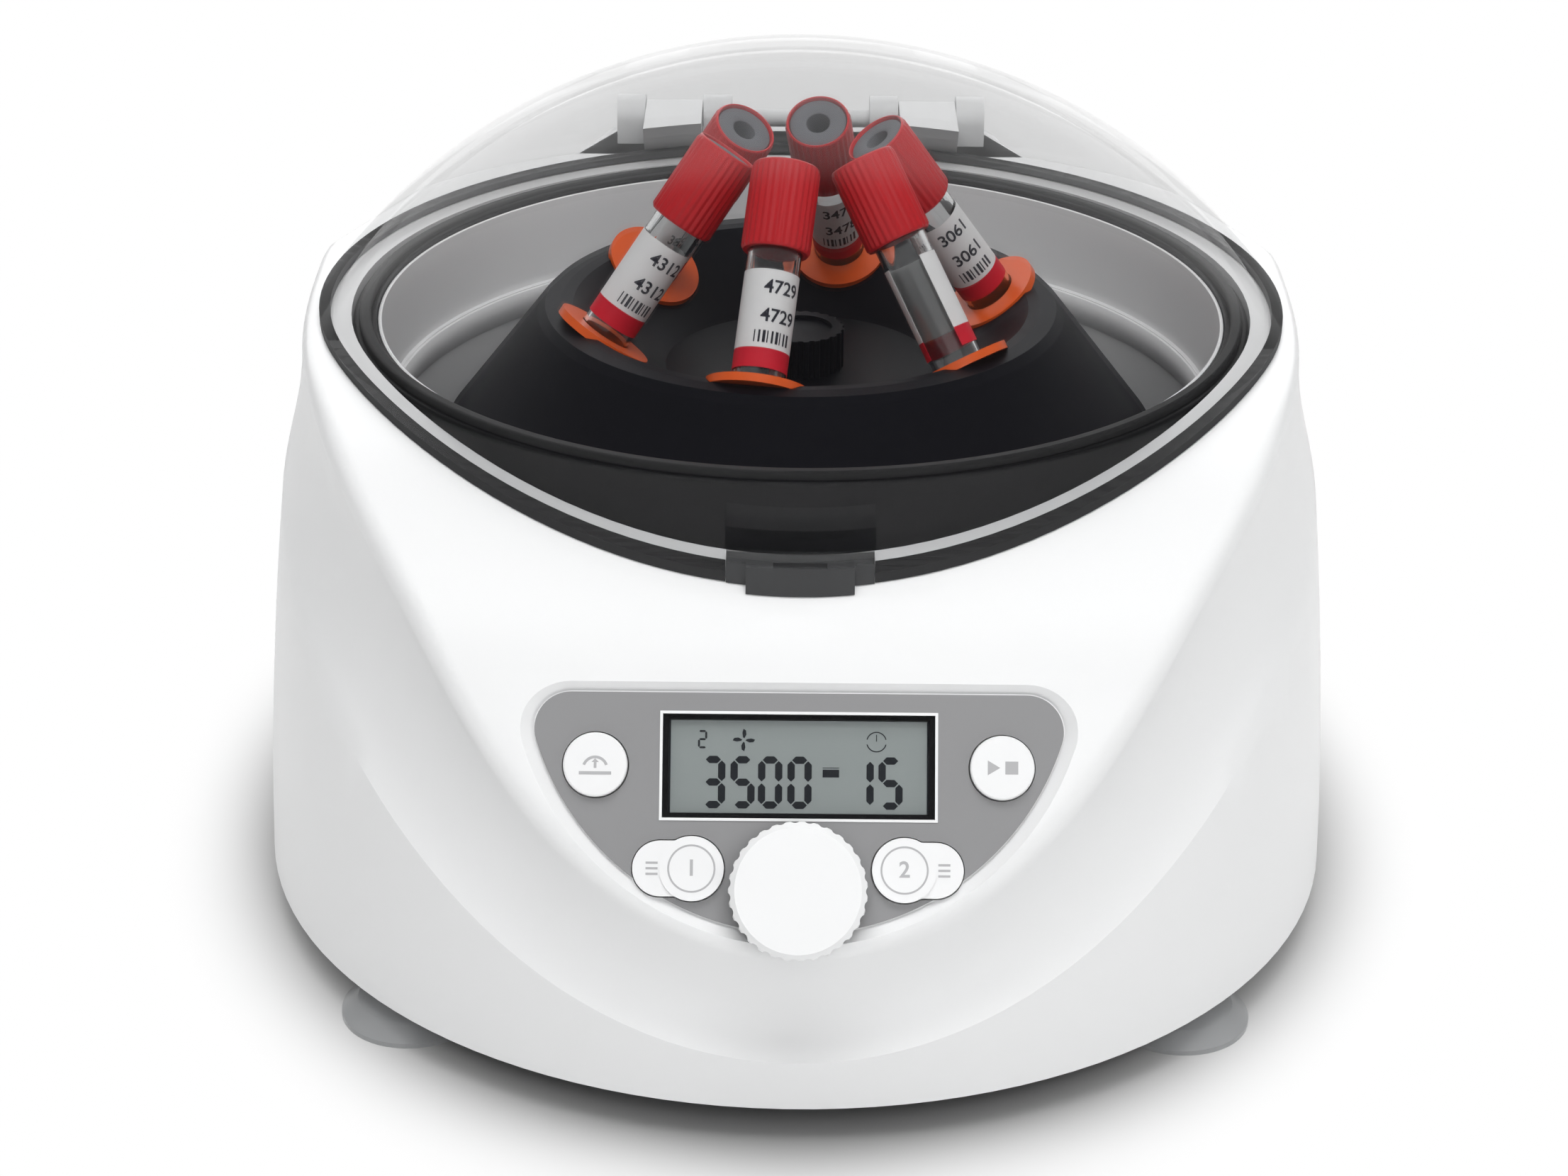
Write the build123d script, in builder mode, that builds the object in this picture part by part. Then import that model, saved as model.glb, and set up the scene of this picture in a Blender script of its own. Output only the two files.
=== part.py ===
from build123d import *
import os
from math import asin, cos, degrees, pi, radians, sin, sqrt, tan

# A benchtop centrifuge for six blood tubes, in millimetres, +Z up.
# The origin is the middle of the whole object's box, on the bench. -Y is the front.
os.makedirs("parts", exist_ok=True)

# Where the rotor stands: all body sizes below are measured from its axis and its tube ring
foot_height = 10.0
ring_height = 126.5
ring_z = foot_height + ring_height
axis_y = 14.66

# Body outline: a round nose in front, straight sides and a square back with round corners
base_half_width = 134.0
top_half_width = 125.0
side_bulge = 1.8
nose_reach = 170.0
base_reach = 164.3
nose_shift = 30.0
rear_reach = 146.0
rear_corner = 48.0
side_wall = 3.0
top_wall = 5.0

# Body top: a flat deck that rolls forward into the slope of the panel
deck_height = 3.5
crown_start = 38.0
crown_radius = 155.0
crown_turn = 32.2
brow_radius = 66.0
panel_slope = 58.0

# The hollow sweep that undercuts the bib, from the lid's sides round below the panel
ridge_drop = 113.0
ridge_rise = 81.0
sweep_share = 0.16
sweep_fade = 0.6
sweep_clear = 3.0
sweep_bite = 1.2
sweep_least = 1.2
bib_round = 5.0

# Lid
lid_radius = 119.8
lid_sphere = 150.0
lid_apex = 65.4
lid_wall = 3.0
lid_gap = 2.4
seal_gap = 0.3
hinge_reach = 131.0
hinge_height = 9.5
hinge_pin_radius = 2.5
hinge_barrel = 5.0
hinge_spread = 36.0
hinge_arm_width = 16.0
hinge_ear_width = 8.0
hinge_side_gap = 0.3
run_fit = 0.05

# Chamber
bowl_radius = 103.0
bowl_wall = 1.5
bowl_depth = 72.0
bowl_step = 21.0
bowl_flange = 110.0
collar_inner = 105.5
collar_outer = 111.5
collar_top = 2.0
well_gap = 0.3
well_wall = 1.8
shoulder_wall = 4.0
gasket_height = 2.0
neck_radius = 20.0

# Rotor, tubes and what they stand in
tube_count = 6
tube_start = 18.3
ring_radius = 50.75
tube_tilt = 36.0
tube_radius = 6.5
tube_wall = 1.0
tube_below = 27.0
tube_length = 75.0
sleeve_gap = 0.15
sleeve_wall = 0.8
flange_radius = 12.5
flange_thick = 2.0
cap_radius = 8.35
cap_length = 21.5
cap_start = 32.7
cap_ribs = 30
label_start = 3.0
label_length = 24.0
label_thick = 0.2
rotor_rim = 64.0
rotor_rim_height = 3.0
rotor_foot_radius = 97.5
rotor_foot = 58.0
shaft_radius = 4.0

# Panel, measured on its own slope from the line where the brow ends
panel_radius = 60.0
panel_centre = 14.1
panel_top = 6.2
panel_corner = 8.0
recess_depth = 2.0
recess_border = 2.7
overlay_thick = 0.8
lcd_width = 60.4
lcd_height = 23.8
lcd_drop = 9.7
button_spread = 44.1
button_drop = 9.7
button_radius = 7.0
key_spread = 23.0
pill_spread = 29.8
key_drop = 32.0
pill_radius = 6.0
knob_drop = 36.8
knob_radius = 15.0
knob_length = 12.5
knob_ribs = 31
knob_gap = 1.2
press_gap = 0.3
press_travel = 1.0
button_stand = 1.6
board_depth = 12.0
board_thick = 1.6

# Feet and fasteners
foot_radius = 17.0
foot_spread = 91.0
foot_front = 110.0
foot_rear = 104.0
base_thick = 3.0
screw_radius = 2.0
screw_head = 3.8

# Latch: a hook on a small gear motor that catches the eye of the lid's tongue
striker_half = 16.4
striker_inner = 113.9
tab_half = 12.0
tab_thick = 2.0
tongue_half = 6.0
tongue_middle = -115.25
tongue_thick = 2.5
tongue_end = -39.0
eye_half = 4.0
eye_low = -36.0
eye_high = -31.2
slot_middle = -117.3
slot_length = 7.0
latch_y = -115.2
latch_z = -47.0
hook_inner = 12.0
hook_outer = 15.0
hook_half = 3.0
hook_rest = 16.0
hook_sweep = 46.0
hook_arm = 14.0
latch_motor_radius = 9.0
latch_plate_x = 6.6

# Drive under the chamber
motor_radius = 32.0
motor_top = -78.0
motor_bottom = -116.5
plate_thick = 2.0
damper_spread = 41.0

# Boards
lcd_frame = 0.6
bushing_radius = 4.2
peg_radius = 2.5
peg_bore = 1.25
stand_height = 8.0
board_x = 62.0
board_y = 92.0
board_length = 84.0
board_width = 62.0

# Rear wall
rear_row = -96.0
inlet_x = 66.0
inlet_width = 27.0
inlet_height = 20.0
switch_x = 38.0
switch_width = 13.0
switch_height = 19.0
vent_x = -55.0
vent_count = 9
vent_pitch = 7.0
vent_length = 26.0
vent_width = 3.0

# Values that follow from the ones above
crown_run = crown_radius * sin(radians(crown_turn))
crown_drop = crown_radius * (1 - cos(radians(crown_turn)))
brow_run = brow_radius * (sin(radians(panel_slope)) - sin(radians(crown_turn)))
brow_drop = brow_radius * (cos(radians(crown_turn)) - cos(radians(panel_slope)))
panel_reach = crown_start + crown_run + brow_run
panel_height = deck_height - crown_drop - brow_drop
panel_normal = Vector(0, -sin(radians(panel_slope)), cos(radians(panel_slope)))


def at_rotor(height):
    """A level plane centred on the rotor axis, at a height above the tube ring."""
    return Plane((0, axis_y, ring_z + height))


def on_panel(height=0.0):
    """The panel's own plane, x to the right and y up the slope, lifted out of the body by height."""
    start = Vector(0, axis_y - panel_reach, ring_z + panel_height)
    return Plane(start + panel_normal * height, x_dir=(1, 0, 0), z_dir=panel_normal)


def body_size(height):
    """Half width, nose centre and front reach of the body's outline at a height."""
    down = -height / ring_height
    half = base_half_width - (base_half_width - top_half_width) * max(1 - down, 0) ** side_bulge
    front = nose_reach - (nose_reach - base_reach) * max(down, 0) ** 4
    return half, -nose_shift * down, front


def body_outline(height, inset=0.0):
    """The body's outline at a height, drawn in by inset."""
    half, centre, front = body_size(height)
    half, front, rear, corner = half - inset, front - inset, rear_reach - inset, rear_corner - inset
    with BuildSketch(at_rotor(height)) as outline:
        with BuildLine():
            nose = EllipticalCenterArc((0, centre), half, front + centre, 180, arc_size=180)
            right = Line(nose @ 1, (half, rear - corner))
            right_corner = JernArc(right @ 1, (0, 1), corner, 90)
            back = Line(right_corner @ 1, (corner - half, rear))
            left_corner = JernArc(back @ 1, (-1, 0), corner, 90)
            Line(left_corner @ 1, nose @ 0)
        make_face()
    return outline.sketch


def body_form(top, bottom, inset=0.0):
    """The body as one smooth solid between two heights."""
    levels = [top + (bottom - top) * step / 4 for step in range(5)]
    return loft([body_outline(level, inset) for level in levels], mode=Mode.PRIVATE)


def over_top(lift=0.0):
    """The space above the body's top surface, which is moved out by lift along its normal."""
    far, high = rear_reach + 60, ring_z + 200
    level = ring_z + deck_height + lift
    with BuildPart() as space:
        with BuildSketch(Plane.YZ):
            with BuildLine():
                deck = Line((axis_y + far, level), (axis_y - crown_start, level))
                crown = JernArc(deck @ 1, deck % 1, crown_radius + lift, crown_turn)
                brow = JernArc(crown @ 1, crown % 1, brow_radius + lift, panel_slope - crown_turn)
                slope = Line(brow @ 1, (brow @ 1) + (brow % 1) * 110)
                Polyline(slope @ 1, ((slope @ 1).X, high), (axis_y + far, high), deck @ 0)
            make_face()
        extrude(amount=far, both=True)
    return space.part


def top_height(reach):
    """Height of the body's top surface at a distance in front of the rotor axis."""
    run = reach - crown_start
    if run <= 0:
        return deck_height
    if run <= crown_run:
        return deck_height - crown_radius + sqrt(crown_radius ** 2 - run ** 2)
    if run <= crown_run + brow_run:
        turn = asin(sin(radians(crown_turn)) + (run - crown_run) / brow_radius)
        return deck_height - crown_drop - brow_radius * (cos(radians(crown_turn)) - cos(turn))
    return panel_height - (reach - panel_reach) * tan(radians(panel_slope))


def wall_point(angle, height):
    """Point of the body's wall at an angle round the nose, in the rotor's frame."""
    half, centre, front = body_size(height)
    return Vector(half * sin(angle), centre - (front + centre) * cos(angle), height)


def bib_edge(angle):
    """Point where the body's top surface meets its wall, found by halving."""
    low, high = -ring_height, deck_height
    while high - low > 0.01:
        middle = (low + high) / 2
        if middle > top_height(-wall_point(angle, middle).Y):
            high = middle
        else:
            low = middle
    return wall_point(angle, low)


def ridge_point(angle):
    """Point of the outer ridge, which climbs from the front lip to the lid's sides."""
    return wall_point(angle, -ridge_drop + ridge_rise * sin(angle) ** 2)


def sweep_section(degrees_round, back, share, wall_left=0.0):
    """Section of the sweep, an arc from above the edge to below the ridge, at a place round the nose."""
    angle = radians(degrees_round)
    edge, ridge = bib_edge(angle), ridge_point(angle)
    half, centre, front = body_size((edge.Z + ridge.Z) / 2)
    outward = Vector(sin(angle) / half, -cos(angle) / (front + centre), 0).normalized()
    edge = edge - outward * sweep_bite
    chord = edge - ridge
    along = outward.cross(chord).normalized()
    outward = chord.cross(along).normalized()
    depth = share * chord.length
    radius = chord.length ** 2 / (8 * max(depth, sweep_least)) + depth / 2
    reach = sqrt((radius + wall_left) ** 2 - (radius - depth - sweep_clear) ** 2)
    middle = (edge + ridge) * 0.5 + Vector(0, axis_y + back, ring_z)
    with BuildSketch(Plane(middle, x_dir=outward, z_dir=along)) as section:
        with BuildLine():
            hollow = ThreePointArc((sweep_clear, -reach), (-depth - wall_left, 0), (sweep_clear, reach))
            Polyline(hollow @ 1, (sweep_clear + 30, reach), (sweep_clear + 30, -reach), hollow @ 0)
        make_face()
    return section.sketch


def side_sweep(wall_left=0.0):
    """The hollow sweep round the bib, which fades out along both sides."""
    half_round = [(0, 0), (15, 0), (30, 0), (45, 0), (60, 0), (72, 0), (82, 0), (90, 20), (90, 60), (90, 95)]
    places = [(-angle, back) for angle, back in half_round[:0:-1]] + half_round
    sections = []
    for angle, back in places:
        share = sweep_share * cos(radians(angle)) ** sweep_fade - 0.02 * back / 60
        sections.append(sweep_section(angle, back, share, wall_left))
    return loft(sections, mode=Mode.PRIVATE)


def panel_shape(grow=0.0):
    """The panel's outline, a circle cut off by a straight top, with round corners, grown by grow."""
    radius, top = panel_radius + grow, panel_top + grow
    reach = sqrt(radius ** 2 - (panel_centre - top) ** 2)
    with BuildSketch() as shape:
        with BuildLine():
            bow = ThreePointArc((-reach, top), (0, panel_centre - radius), (reach, top))
            Line(bow @ 1, bow @ 0)
        make_face()
        fillet(shape.vertices(), panel_corner + grow)
    return shape.sketch


def key_shape(side, grow=0.0):
    """Outline of a preset key, a disc with a pill on its outer side."""
    with BuildSketch() as shape:
        with Locations((side * key_spread, -key_drop)):
            Circle(button_radius + grow)
        with Locations((side * pill_spread, -key_drop)):
            Circle(pill_radius + grow)
        with Locations((side * (key_spread + pill_spread) / 2, -key_drop)):
            Rectangle(pill_spread - key_spread, 2 * (pill_radius + grow))
    return shape.sketch


def save(piece, name):
    """Labels a finished piece and writes its file."""
    piece.part.label = name
    export_step(piece.part, f"parts/{name}.step")


def shared_edges(first, second):
    """Edges where faces of the first list meet faces of the second."""
    others = second.edges()
    return ShapeList(edge for edge in first.edges() if any(edge.is_same(other) for other in others))


def turned(points, rounds=(), origin=(0, 0, 0)):
    """Solid turned about an upright axis from a closed profile of radius and height, with rounded corners."""
    with BuildPart() as solid:
        with BuildSketch(Plane(origin, x_dir=(1, 0, 0), z_dir=(0, -1, 0))) as profile:
            Polygon(*points, align=None)
            for corner, radius in rounds:
                fillet(profile.vertices().sort_by_distance(Vector(*corner, 0))[:1], radius)
        revolve(axis=Axis(origin, (0, 0, 1)))
    return solid.part


def round_rotor(points, rounds=()):
    """The same, about the rotor axis, with heights above the tube ring."""
    return turned(points, rounds, (0, axis_y, ring_z))


base_top = base_thick - ring_height
shoulder_top = -bowl_step - bowl_wall
shoulder_bottom = shoulder_top - shoulder_wall
well_inner = collar_outer + well_gap
well_outer = well_inner + well_wall
lid_centre = lid_apex - lid_sphere
hinge_y = axis_y + hinge_reach
hinge_z = ring_z + hinge_height
ear_spots = [side * (hinge_spread + part * (hinge_arm_width / 2 + hinge_side_gap + hinge_ear_width / 2))
             for side in (-1, 1) for part in (-1, 1)]
boss_spots = [(x, y) for x, y in [(125.5, -30), (125.5, 66), (114, 126)] for x in (-x, x)]
button_places = [(-button_spread, -button_drop), (button_spread, -button_drop)]
peg_spots = [(-38.0, 1.0), (38.0, 1.0), (-10.5, -27.0), (10.5, -27.0)]

# Upper housing: one moulded shell with the well for the chamber, the panel and the hinge ears
with BuildPart() as cavity:
    add(body_form(deck_height, -ring_height - 1, side_wall))
    add(over_top(-top_wall), mode=Mode.SUBTRACT)
    add(side_sweep(side_wall), mode=Mode.SUBTRACT)

with BuildPart() as well:
    with BuildSketch(at_rotor(shoulder_bottom)):
        Circle(well_outer)
    extrude(amount=deck_height - shoulder_bottom + 5)
    add(over_top(), mode=Mode.SUBTRACT)

with BuildPart() as upper_housing:
    add(body_form(deck_height + 8, -ring_height))
    add(over_top(), mode=Mode.SUBTRACT)
    add(side_sweep(), mode=Mode.SUBTRACT)
    curved = upper_housing.faces().filter_by(GeomType.BSPLINE)
    tops = upper_housing.faces().filter_by(GeomType.BSPLINE, reverse=True).sort_by(Axis.Z)[1:]
    fillet(shared_edges(tops, curved), bib_round)
    add(cavity.part, mode=Mode.SUBTRACT)
    add(well.part)
    with BuildSketch(at_rotor(shoulder_top)):
        Circle(well_inner)
    extrude(amount=deck_height - shoulder_top + 5, mode=Mode.SUBTRACT)
    with BuildSketch(at_rotor(shoulder_bottom)):
        Circle(bowl_radius + bowl_wall + well_gap)
    extrude(amount=shoulder_wall + 1, mode=Mode.SUBTRACT)
    # Recess of the panel, with its sloped border
    low, high = panel_shape(0.3), panel_shape(0.3 + recess_border * 5)
    loft([on_panel(-recess_depth) * low, on_panel(recess_depth * 4) * high], ruled=True, mode=Mode.SUBTRACT)
    # Openings for the display, the buttons, the keys and the knob's shaft
    with BuildSketch(on_panel(-top_wall - 3)):
        with Locations((0, -lcd_drop)):
            Rectangle(lcd_width - 2 * lcd_frame, lcd_height - 2 * lcd_frame)
        with Locations(button_places):
            Circle(button_radius + press_gap)
        add(key_shape(-1, press_gap))
        add(key_shape(1, press_gap))
        with Locations((0, -knob_drop)):
            Circle(bushing_radius + press_gap)
    extrude(amount=top_wall + 3, mode=Mode.SUBTRACT)
    # Pegs that carry the keypad board
    with BuildSketch(on_panel(-board_depth)):
        with Locations(peg_spots):
            Circle(peg_radius)
    extrude(amount=board_depth - top_wall + 1)
    with BuildSketch(on_panel(-board_depth)):
        with Locations(peg_spots):
            Circle(peg_bore)
    extrude(amount=6, mode=Mode.SUBTRACT)
    # Slot for the latch tongue
    with BuildSketch(at_rotor(-40)):
        with Locations((0, slot_middle)):
            Rectangle(2 * tongue_half + 2, slot_length)
    extrude(amount=45, mode=Mode.SUBTRACT)
    # Screw bosses
    with BuildSketch(at_rotor(base_top)):
        with Locations(boss_spots):
            Circle(6)
    extrude(amount=30)
    with BuildSketch(at_rotor(base_top)):
        with Locations(boss_spots):
            Circle(screw_radius + run_fit)
    extrude(amount=14, mode=Mode.SUBTRACT)
    # Hinge ears
    for x in ear_spots:
        with BuildSketch(Plane((x - hinge_ear_width / 2, hinge_y, hinge_z), x_dir=(0, 1, 0), z_dir=(1, 0, 0))):
            Circle(hinge_barrel + 1.5)
            with Locations((0, -hinge_height / 2)):
                Rectangle(2 * hinge_barrel + 3, hinge_height)
            Circle(hinge_pin_radius + run_fit, mode=Mode.SUBTRACT)
        extrude(amount=hinge_ear_width)
    # Rear openings for the mains inlet and the switch, and the air slots
    with BuildSketch(Plane((0, axis_y + rear_reach + 5, ring_z), x_dir=(-1, 0, 0), z_dir=(0, 1, 0))):
        with Locations((inlet_x, rear_row)):
            Rectangle(inlet_width + 0.4, inlet_height + 0.4)
        with Locations((switch_x, rear_row)):
            Rectangle(switch_width + 0.4, switch_height + 0.4)
        with Locations((vent_x, rear_row)):
            with GridLocations(vent_pitch, 0, vent_count, 1):
                SlotOverall(vent_length, vent_width, rotation=90)
    extrude(amount=-side_wall - 8, mode=Mode.SUBTRACT)
save(upper_housing, "upper_housing")

# Base plate: closes the housing from below, with air slots and the holes of feet and screws
foot_spots = [(x, y) for x in (-foot_spread, foot_spread) for y in (-foot_front, foot_rear)]
damper_spots = [(x, y) for x in (-damper_spread, damper_spread) for y in (-damper_spread, damper_spread)]
with BuildPart() as base_plate:
    extrude(body_outline(-ring_height, side_wall + press_gap), amount=base_thick)
    with BuildSketch(at_rotor(-ring_height)):
        with Locations(boss_spots):
            Circle(screw_radius + 0.2)
        with Locations(foot_spots):
            Circle(4.1)
        with GridLocations(8, 0, 9, 1):
            SlotOverall(46, 3, rotation=90)
        with Locations((-60, 92), (0, -100)):
            with GridLocations(8, 0, 6, 1):
                SlotOverall(30, 3, rotation=90)
    extrude(amount=base_thick, mode=Mode.SUBTRACT)
save(base_plate, "base_plate")

# Screws that hold the base plate to the housing's bosses, their heads below the plate
with BuildPart() as base_screws:
    with Locations([Location((x, y + axis_y, foot_height)) for x, y in boss_spots]):
        add(turned([(0, -2.2), (3.2, -2.2), (screw_head, -1.2), (screw_head, 0), (screw_radius, 0),
                    (screw_radius, 12), (0, 13)]))
save(base_screws, "base_screws")

# Suction feet: rubber cups pushed into the base plate
with BuildPart() as suction_feet:
    cup = turned([(0, 3.4), (10, 2.4), (foot_radius - 1.5, 0), (foot_radius, 0), (foot_radius, 1.2), (13, 4.4),
                  (8.5, 6.6), (8.5, foot_height), (4, foot_height), (4, foot_height + base_thick),
                  (6, foot_height + base_thick), (6, foot_height + base_thick + 1.4), (4.6, 15), (0, 15)])
    with Locations([Location((x, y + axis_y, 0)) for x, y in foot_spots]):
        add(cup)
save(suction_feet, "suction_feet")

# Chamber: a deep-drawn bowl whose flange rests on the housing's shoulder
bowl_outer = bowl_radius + bowl_wall
bowl_bottom = -bowl_depth - bowl_wall
with BuildPart() as rotor_chamber:
    add(round_rotor([(neck_radius, bowl_bottom), (bowl_outer, bowl_bottom), (bowl_outer, shoulder_top),
                     (bowl_flange, shoulder_top), (bowl_flange, -bowl_step), (bowl_radius, -bowl_step),
                     (bowl_radius, -bowl_depth), (neck_radius, -bowl_depth)],
                    [((bowl_outer, bowl_bottom), 13.5), ((bowl_radius, -bowl_depth), 12),
                     ((bowl_radius, -bowl_step), 1.2)]))
save(rotor_chamber, "rotor_chamber")

# Collar: the black ring above the bowl, with a soft gasket on it
with BuildPart() as chamber_collar:
    add(round_rotor([(collar_inner, -bowl_step), (collar_outer, -bowl_step), (collar_outer, collar_top),
                     (collar_inner, collar_top)], [((collar_inner, collar_top), 1), ((collar_outer, collar_top), 1)]))
save(chamber_collar, "chamber_collar")

with BuildPart() as chamber_gasket:
    add(round_rotor([(collar_inner + 1.5, collar_top), (collar_outer - 1.5, collar_top),
                     (collar_outer - 1.5, collar_top + gasket_height),
                     (collar_inner + 1.5, collar_top + gasket_height)],
                    [((collar_inner + 1.5, collar_top + gasket_height), 0.8),
                     ((collar_outer - 1.5, collar_top + gasket_height), 0.8)]))
save(chamber_gasket, "chamber_gasket")

# Shaft seal: a rubber boot from the bowl's neck to the motor's top
with BuildPart() as shaft_seal:
    add(round_rotor([(12, motor_top), (14.5, motor_top), (14.5, motor_top + 1.5), (22, motor_top + 2),
                     (22, bowl_bottom), (neck_radius, bowl_bottom), (neck_radius, -bowl_depth), (22, -bowl_depth),
                     (21, -bowl_depth + 1.6), (15, -bowl_depth + 1.6), (12, -bowl_depth - 1)]))
save(shaft_seal, "shaft_seal")

# Motor on a plate that floats on four rubber dampers
with BuildPart() as motor:
    add(round_rotor([(0, motor_bottom), (motor_radius, motor_bottom), (motor_radius, motor_top + 2),
                     (motor_radius - 2, motor_top), (shaft_radius + run_fit, motor_top),
                     (shaft_radius + run_fit, motor_bottom + 4.6), (0, motor_bottom + 4.6)]))
    with BuildSketch(at_rotor(motor_bottom + 6)):
        with PolarLocations(motor_radius, 24):
            Rectangle(2.4, 3)
    extrude(amount=26, mode=Mode.SUBTRACT)
save(motor, "motor")

with BuildPart() as motor_plate:
    with BuildSketch(at_rotor(motor_bottom - plate_thick)):
        RectangleRounded(2 * damper_spread + 20, 2 * damper_spread + 20, 10)
        with Locations(damper_spots):
            Circle(3, mode=Mode.SUBTRACT)
    extrude(amount=plate_thick)
save(motor_plate, "motor_plate")

with BuildPart() as motor_dampers:
    with Locations([Location((x, y + axis_y, ring_z)) for x, y in damper_spots]):
        add(turned([(0, base_top), (8, base_top), (8, base_top + 1), (6, base_top + 2.5), (8, base_top + 4),
                    (8, motor_bottom - plate_thick), (2.9, motor_bottom - plate_thick), (2.9, motor_bottom),
                    (6, motor_bottom), (6, motor_bottom + 1.6), (0, motor_bottom + 1.6)]))
save(motor_dampers, "motor_dampers")

# Shaft: runs in the motor and carries the rotor on a collar
with BuildPart() as motor_shaft:
    add(round_rotor([(0, motor_bottom + 4.7), (shaft_radius, motor_bottom + 4.7), (shaft_radius, -58), (7, -58),
                     (7, -54), (shaft_radius, -54), (shaft_radius, -7), (shaft_radius - 1, -6), (0, -6)]))
save(motor_shaft, "motor_shaft")

# Rotor, with six slanted wells that the sleeves drop into
tilt = radians(tube_tilt)
tube_spots = []
for number in range(tube_count):
    around = radians(tube_start + 360 * number / tube_count)
    lean = Vector(-sin(tilt) * cos(around), -sin(tilt) * sin(around), cos(tilt))
    foot = Vector(ring_radius * cos(around), axis_y + ring_radius * sin(around), ring_z)
    tube_spots.append(Plane(foot, x_dir=(-sin(around), cos(around), 0), z_dir=lean).location)


def test_tube_form(radius, top):
    """A rod with a round lower end that lies round the tube's own round end, up to a height."""
    centre = tube_radius - tube_below
    with BuildPart() as rod:
        with BuildSketch(Plane.XZ):
            with BuildLine():
                side = Polyline((0, centre - radius), (0, top), (radius, top), (radius, centre))
                RadiusArc(side @ 1, side @ 0, radius)
            make_face()
        revolve(axis=Axis.Z)
    return rod.part


sleeve_inner = tube_radius + sleeve_gap
sleeve_outer = sleeve_inner + sleeve_wall
with BuildPart() as rotor:
    add(round_rotor([(shaft_radius + 0.03, -54), (16, -54), (16, -46), (30, -38), (88, -38), (93, -50),
                     (rotor_foot_radius - 4, -rotor_foot), (rotor_foot_radius, -rotor_foot), (97, -50), (90, -30),
                     (rotor_rim + 2, 1), (rotor_rim, rotor_rim_height), (60, 3.2), (57, 2.9), (34, -13.8),
                     (12, -14), (shaft_radius + 0.03, -14)]))
    with Locations(tube_spots):
        add(test_tube_form(sleeve_outer + 0.1, 30), mode=Mode.SUBTRACT)
    with Locations([spot * Location((0, 0, -flange_thick)) for spot in tube_spots]):
        Cylinder(flange_radius + 0.3, 20, align=(Align.CENTER, Align.CENTER, Align.MIN), mode=Mode.SUBTRACT)
save(rotor, "rotor")

# Nut that clamps the rotor on the shaft, with a knurled rim
with BuildPart() as rotor_nut:
    with BuildSketch(at_rotor(-14)):
        Circle(11)
        with PolarLocations(11.3, 24):
            Circle(0.9, mode=Mode.SUBTRACT)
    extrude(amount=10)
    with BuildSketch(at_rotor(-14)):
        Circle(shaft_radius + run_fit)
    extrude(amount=8.2, mode=Mode.SUBTRACT)
    with BuildSketch(at_rotor(-4)):
        Circle(8)
    extrude(amount=-1, mode=Mode.SUBTRACT)
save(rotor_nut, "rotor_nut")

# Sleeves, tubes, caps, stoppers and labels: one of each per well, turned about the tube's own axis
with BuildPart() as tube_sleeves:
    with Locations(tube_spots):
        add(test_tube_form(sleeve_outer, 0))
    with Locations([spot * Location((0, 0, -flange_thick)) for spot in tube_spots]):
        Cylinder(flange_radius, flange_thick, align=(Align.CENTER, Align.CENTER, Align.MIN))
    with Locations(tube_spots):
        add(test_tube_form(sleeve_inner, 1), mode=Mode.SUBTRACT)
save(tube_sleeves, "tube_sleeves")

tube_top = tube_length - tube_below
with BuildPart() as sample_tubes:
    with Locations(tube_spots):
        add(test_tube_form(tube_radius, tube_top))
        add(test_tube_form(tube_radius - tube_wall, tube_top + 1), mode=Mode.SUBTRACT)
save(sample_tubes, "sample_tubes")

with BuildPart() as tube_labels:
    with BuildPart(mode=Mode.PRIVATE) as label:
        with BuildSketch(Plane.XY.offset(label_start)):
            Circle(tube_radius + label_thick)
            Circle(tube_radius + 0.02, mode=Mode.SUBTRACT)
            with Locations((0, -tube_radius)):
                Rectangle(tube_radius, tube_radius, mode=Mode.SUBTRACT)
        extrude(amount=label_length)
    with Locations(tube_spots):
        add(label.part)
save(tube_labels, "tube_labels")

cap_top = cap_start + cap_length
cap_roof = cap_top - 1.0
with BuildPart() as tube_caps:
    ribs = [(cap_radius - 0.45 * (step % 2), 180 * step / cap_ribs) for step in range(2 * cap_ribs)]
    with BuildPart(mode=Mode.PRIVATE) as cap:
        with BuildSketch(Plane.XY.offset(cap_start)):
            Polygon(*[(radius * cos(radians(turn)), radius * sin(radians(turn))) for radius, turn in ribs],
                    align=None)
        extrude(amount=cap_length)
        with BuildSketch(Plane.XY.offset(cap_start)):
            Circle(tube_radius + 0.25)
        extrude(amount=cap_roof - cap_start, mode=Mode.SUBTRACT)
        with BuildSketch(Plane.XY.offset(cap_roof)):
            Circle(tube_radius - 0.3)
        extrude(amount=2, mode=Mode.SUBTRACT)
    with Locations(tube_spots):
        add(cap.part)
save(tube_caps, "tube_caps")

with BuildPart() as tube_stoppers:
    stopper = turned([(0, tube_top - 9), (tube_radius - tube_wall - 0.1, tube_top - 9),
                      (tube_radius - tube_wall - 0.1, tube_top), (tube_radius + 0.15, tube_top),
                      (tube_radius + 0.15, cap_roof - 0.1), (tube_radius - 0.5, cap_roof), (3.2, cap_roof),
                      (2.6, cap_roof - 1.8), (0, cap_roof - 1.8)])
    with Locations(tube_spots):
        add(stopper)
save(tube_stoppers, "tube_stoppers")


def front_block(half, height):
    """Everything in front of the chamber within half of the middle, below the top raised by height."""
    with BuildPart() as block:
        with BuildSketch(at_rotor(-45)):
            with Locations((0, -115)):
                Rectangle(2 * half, 30)
        extrude(amount=50)
        add(over_top(height), mode=Mode.SUBTRACT)
    return block.part


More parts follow.
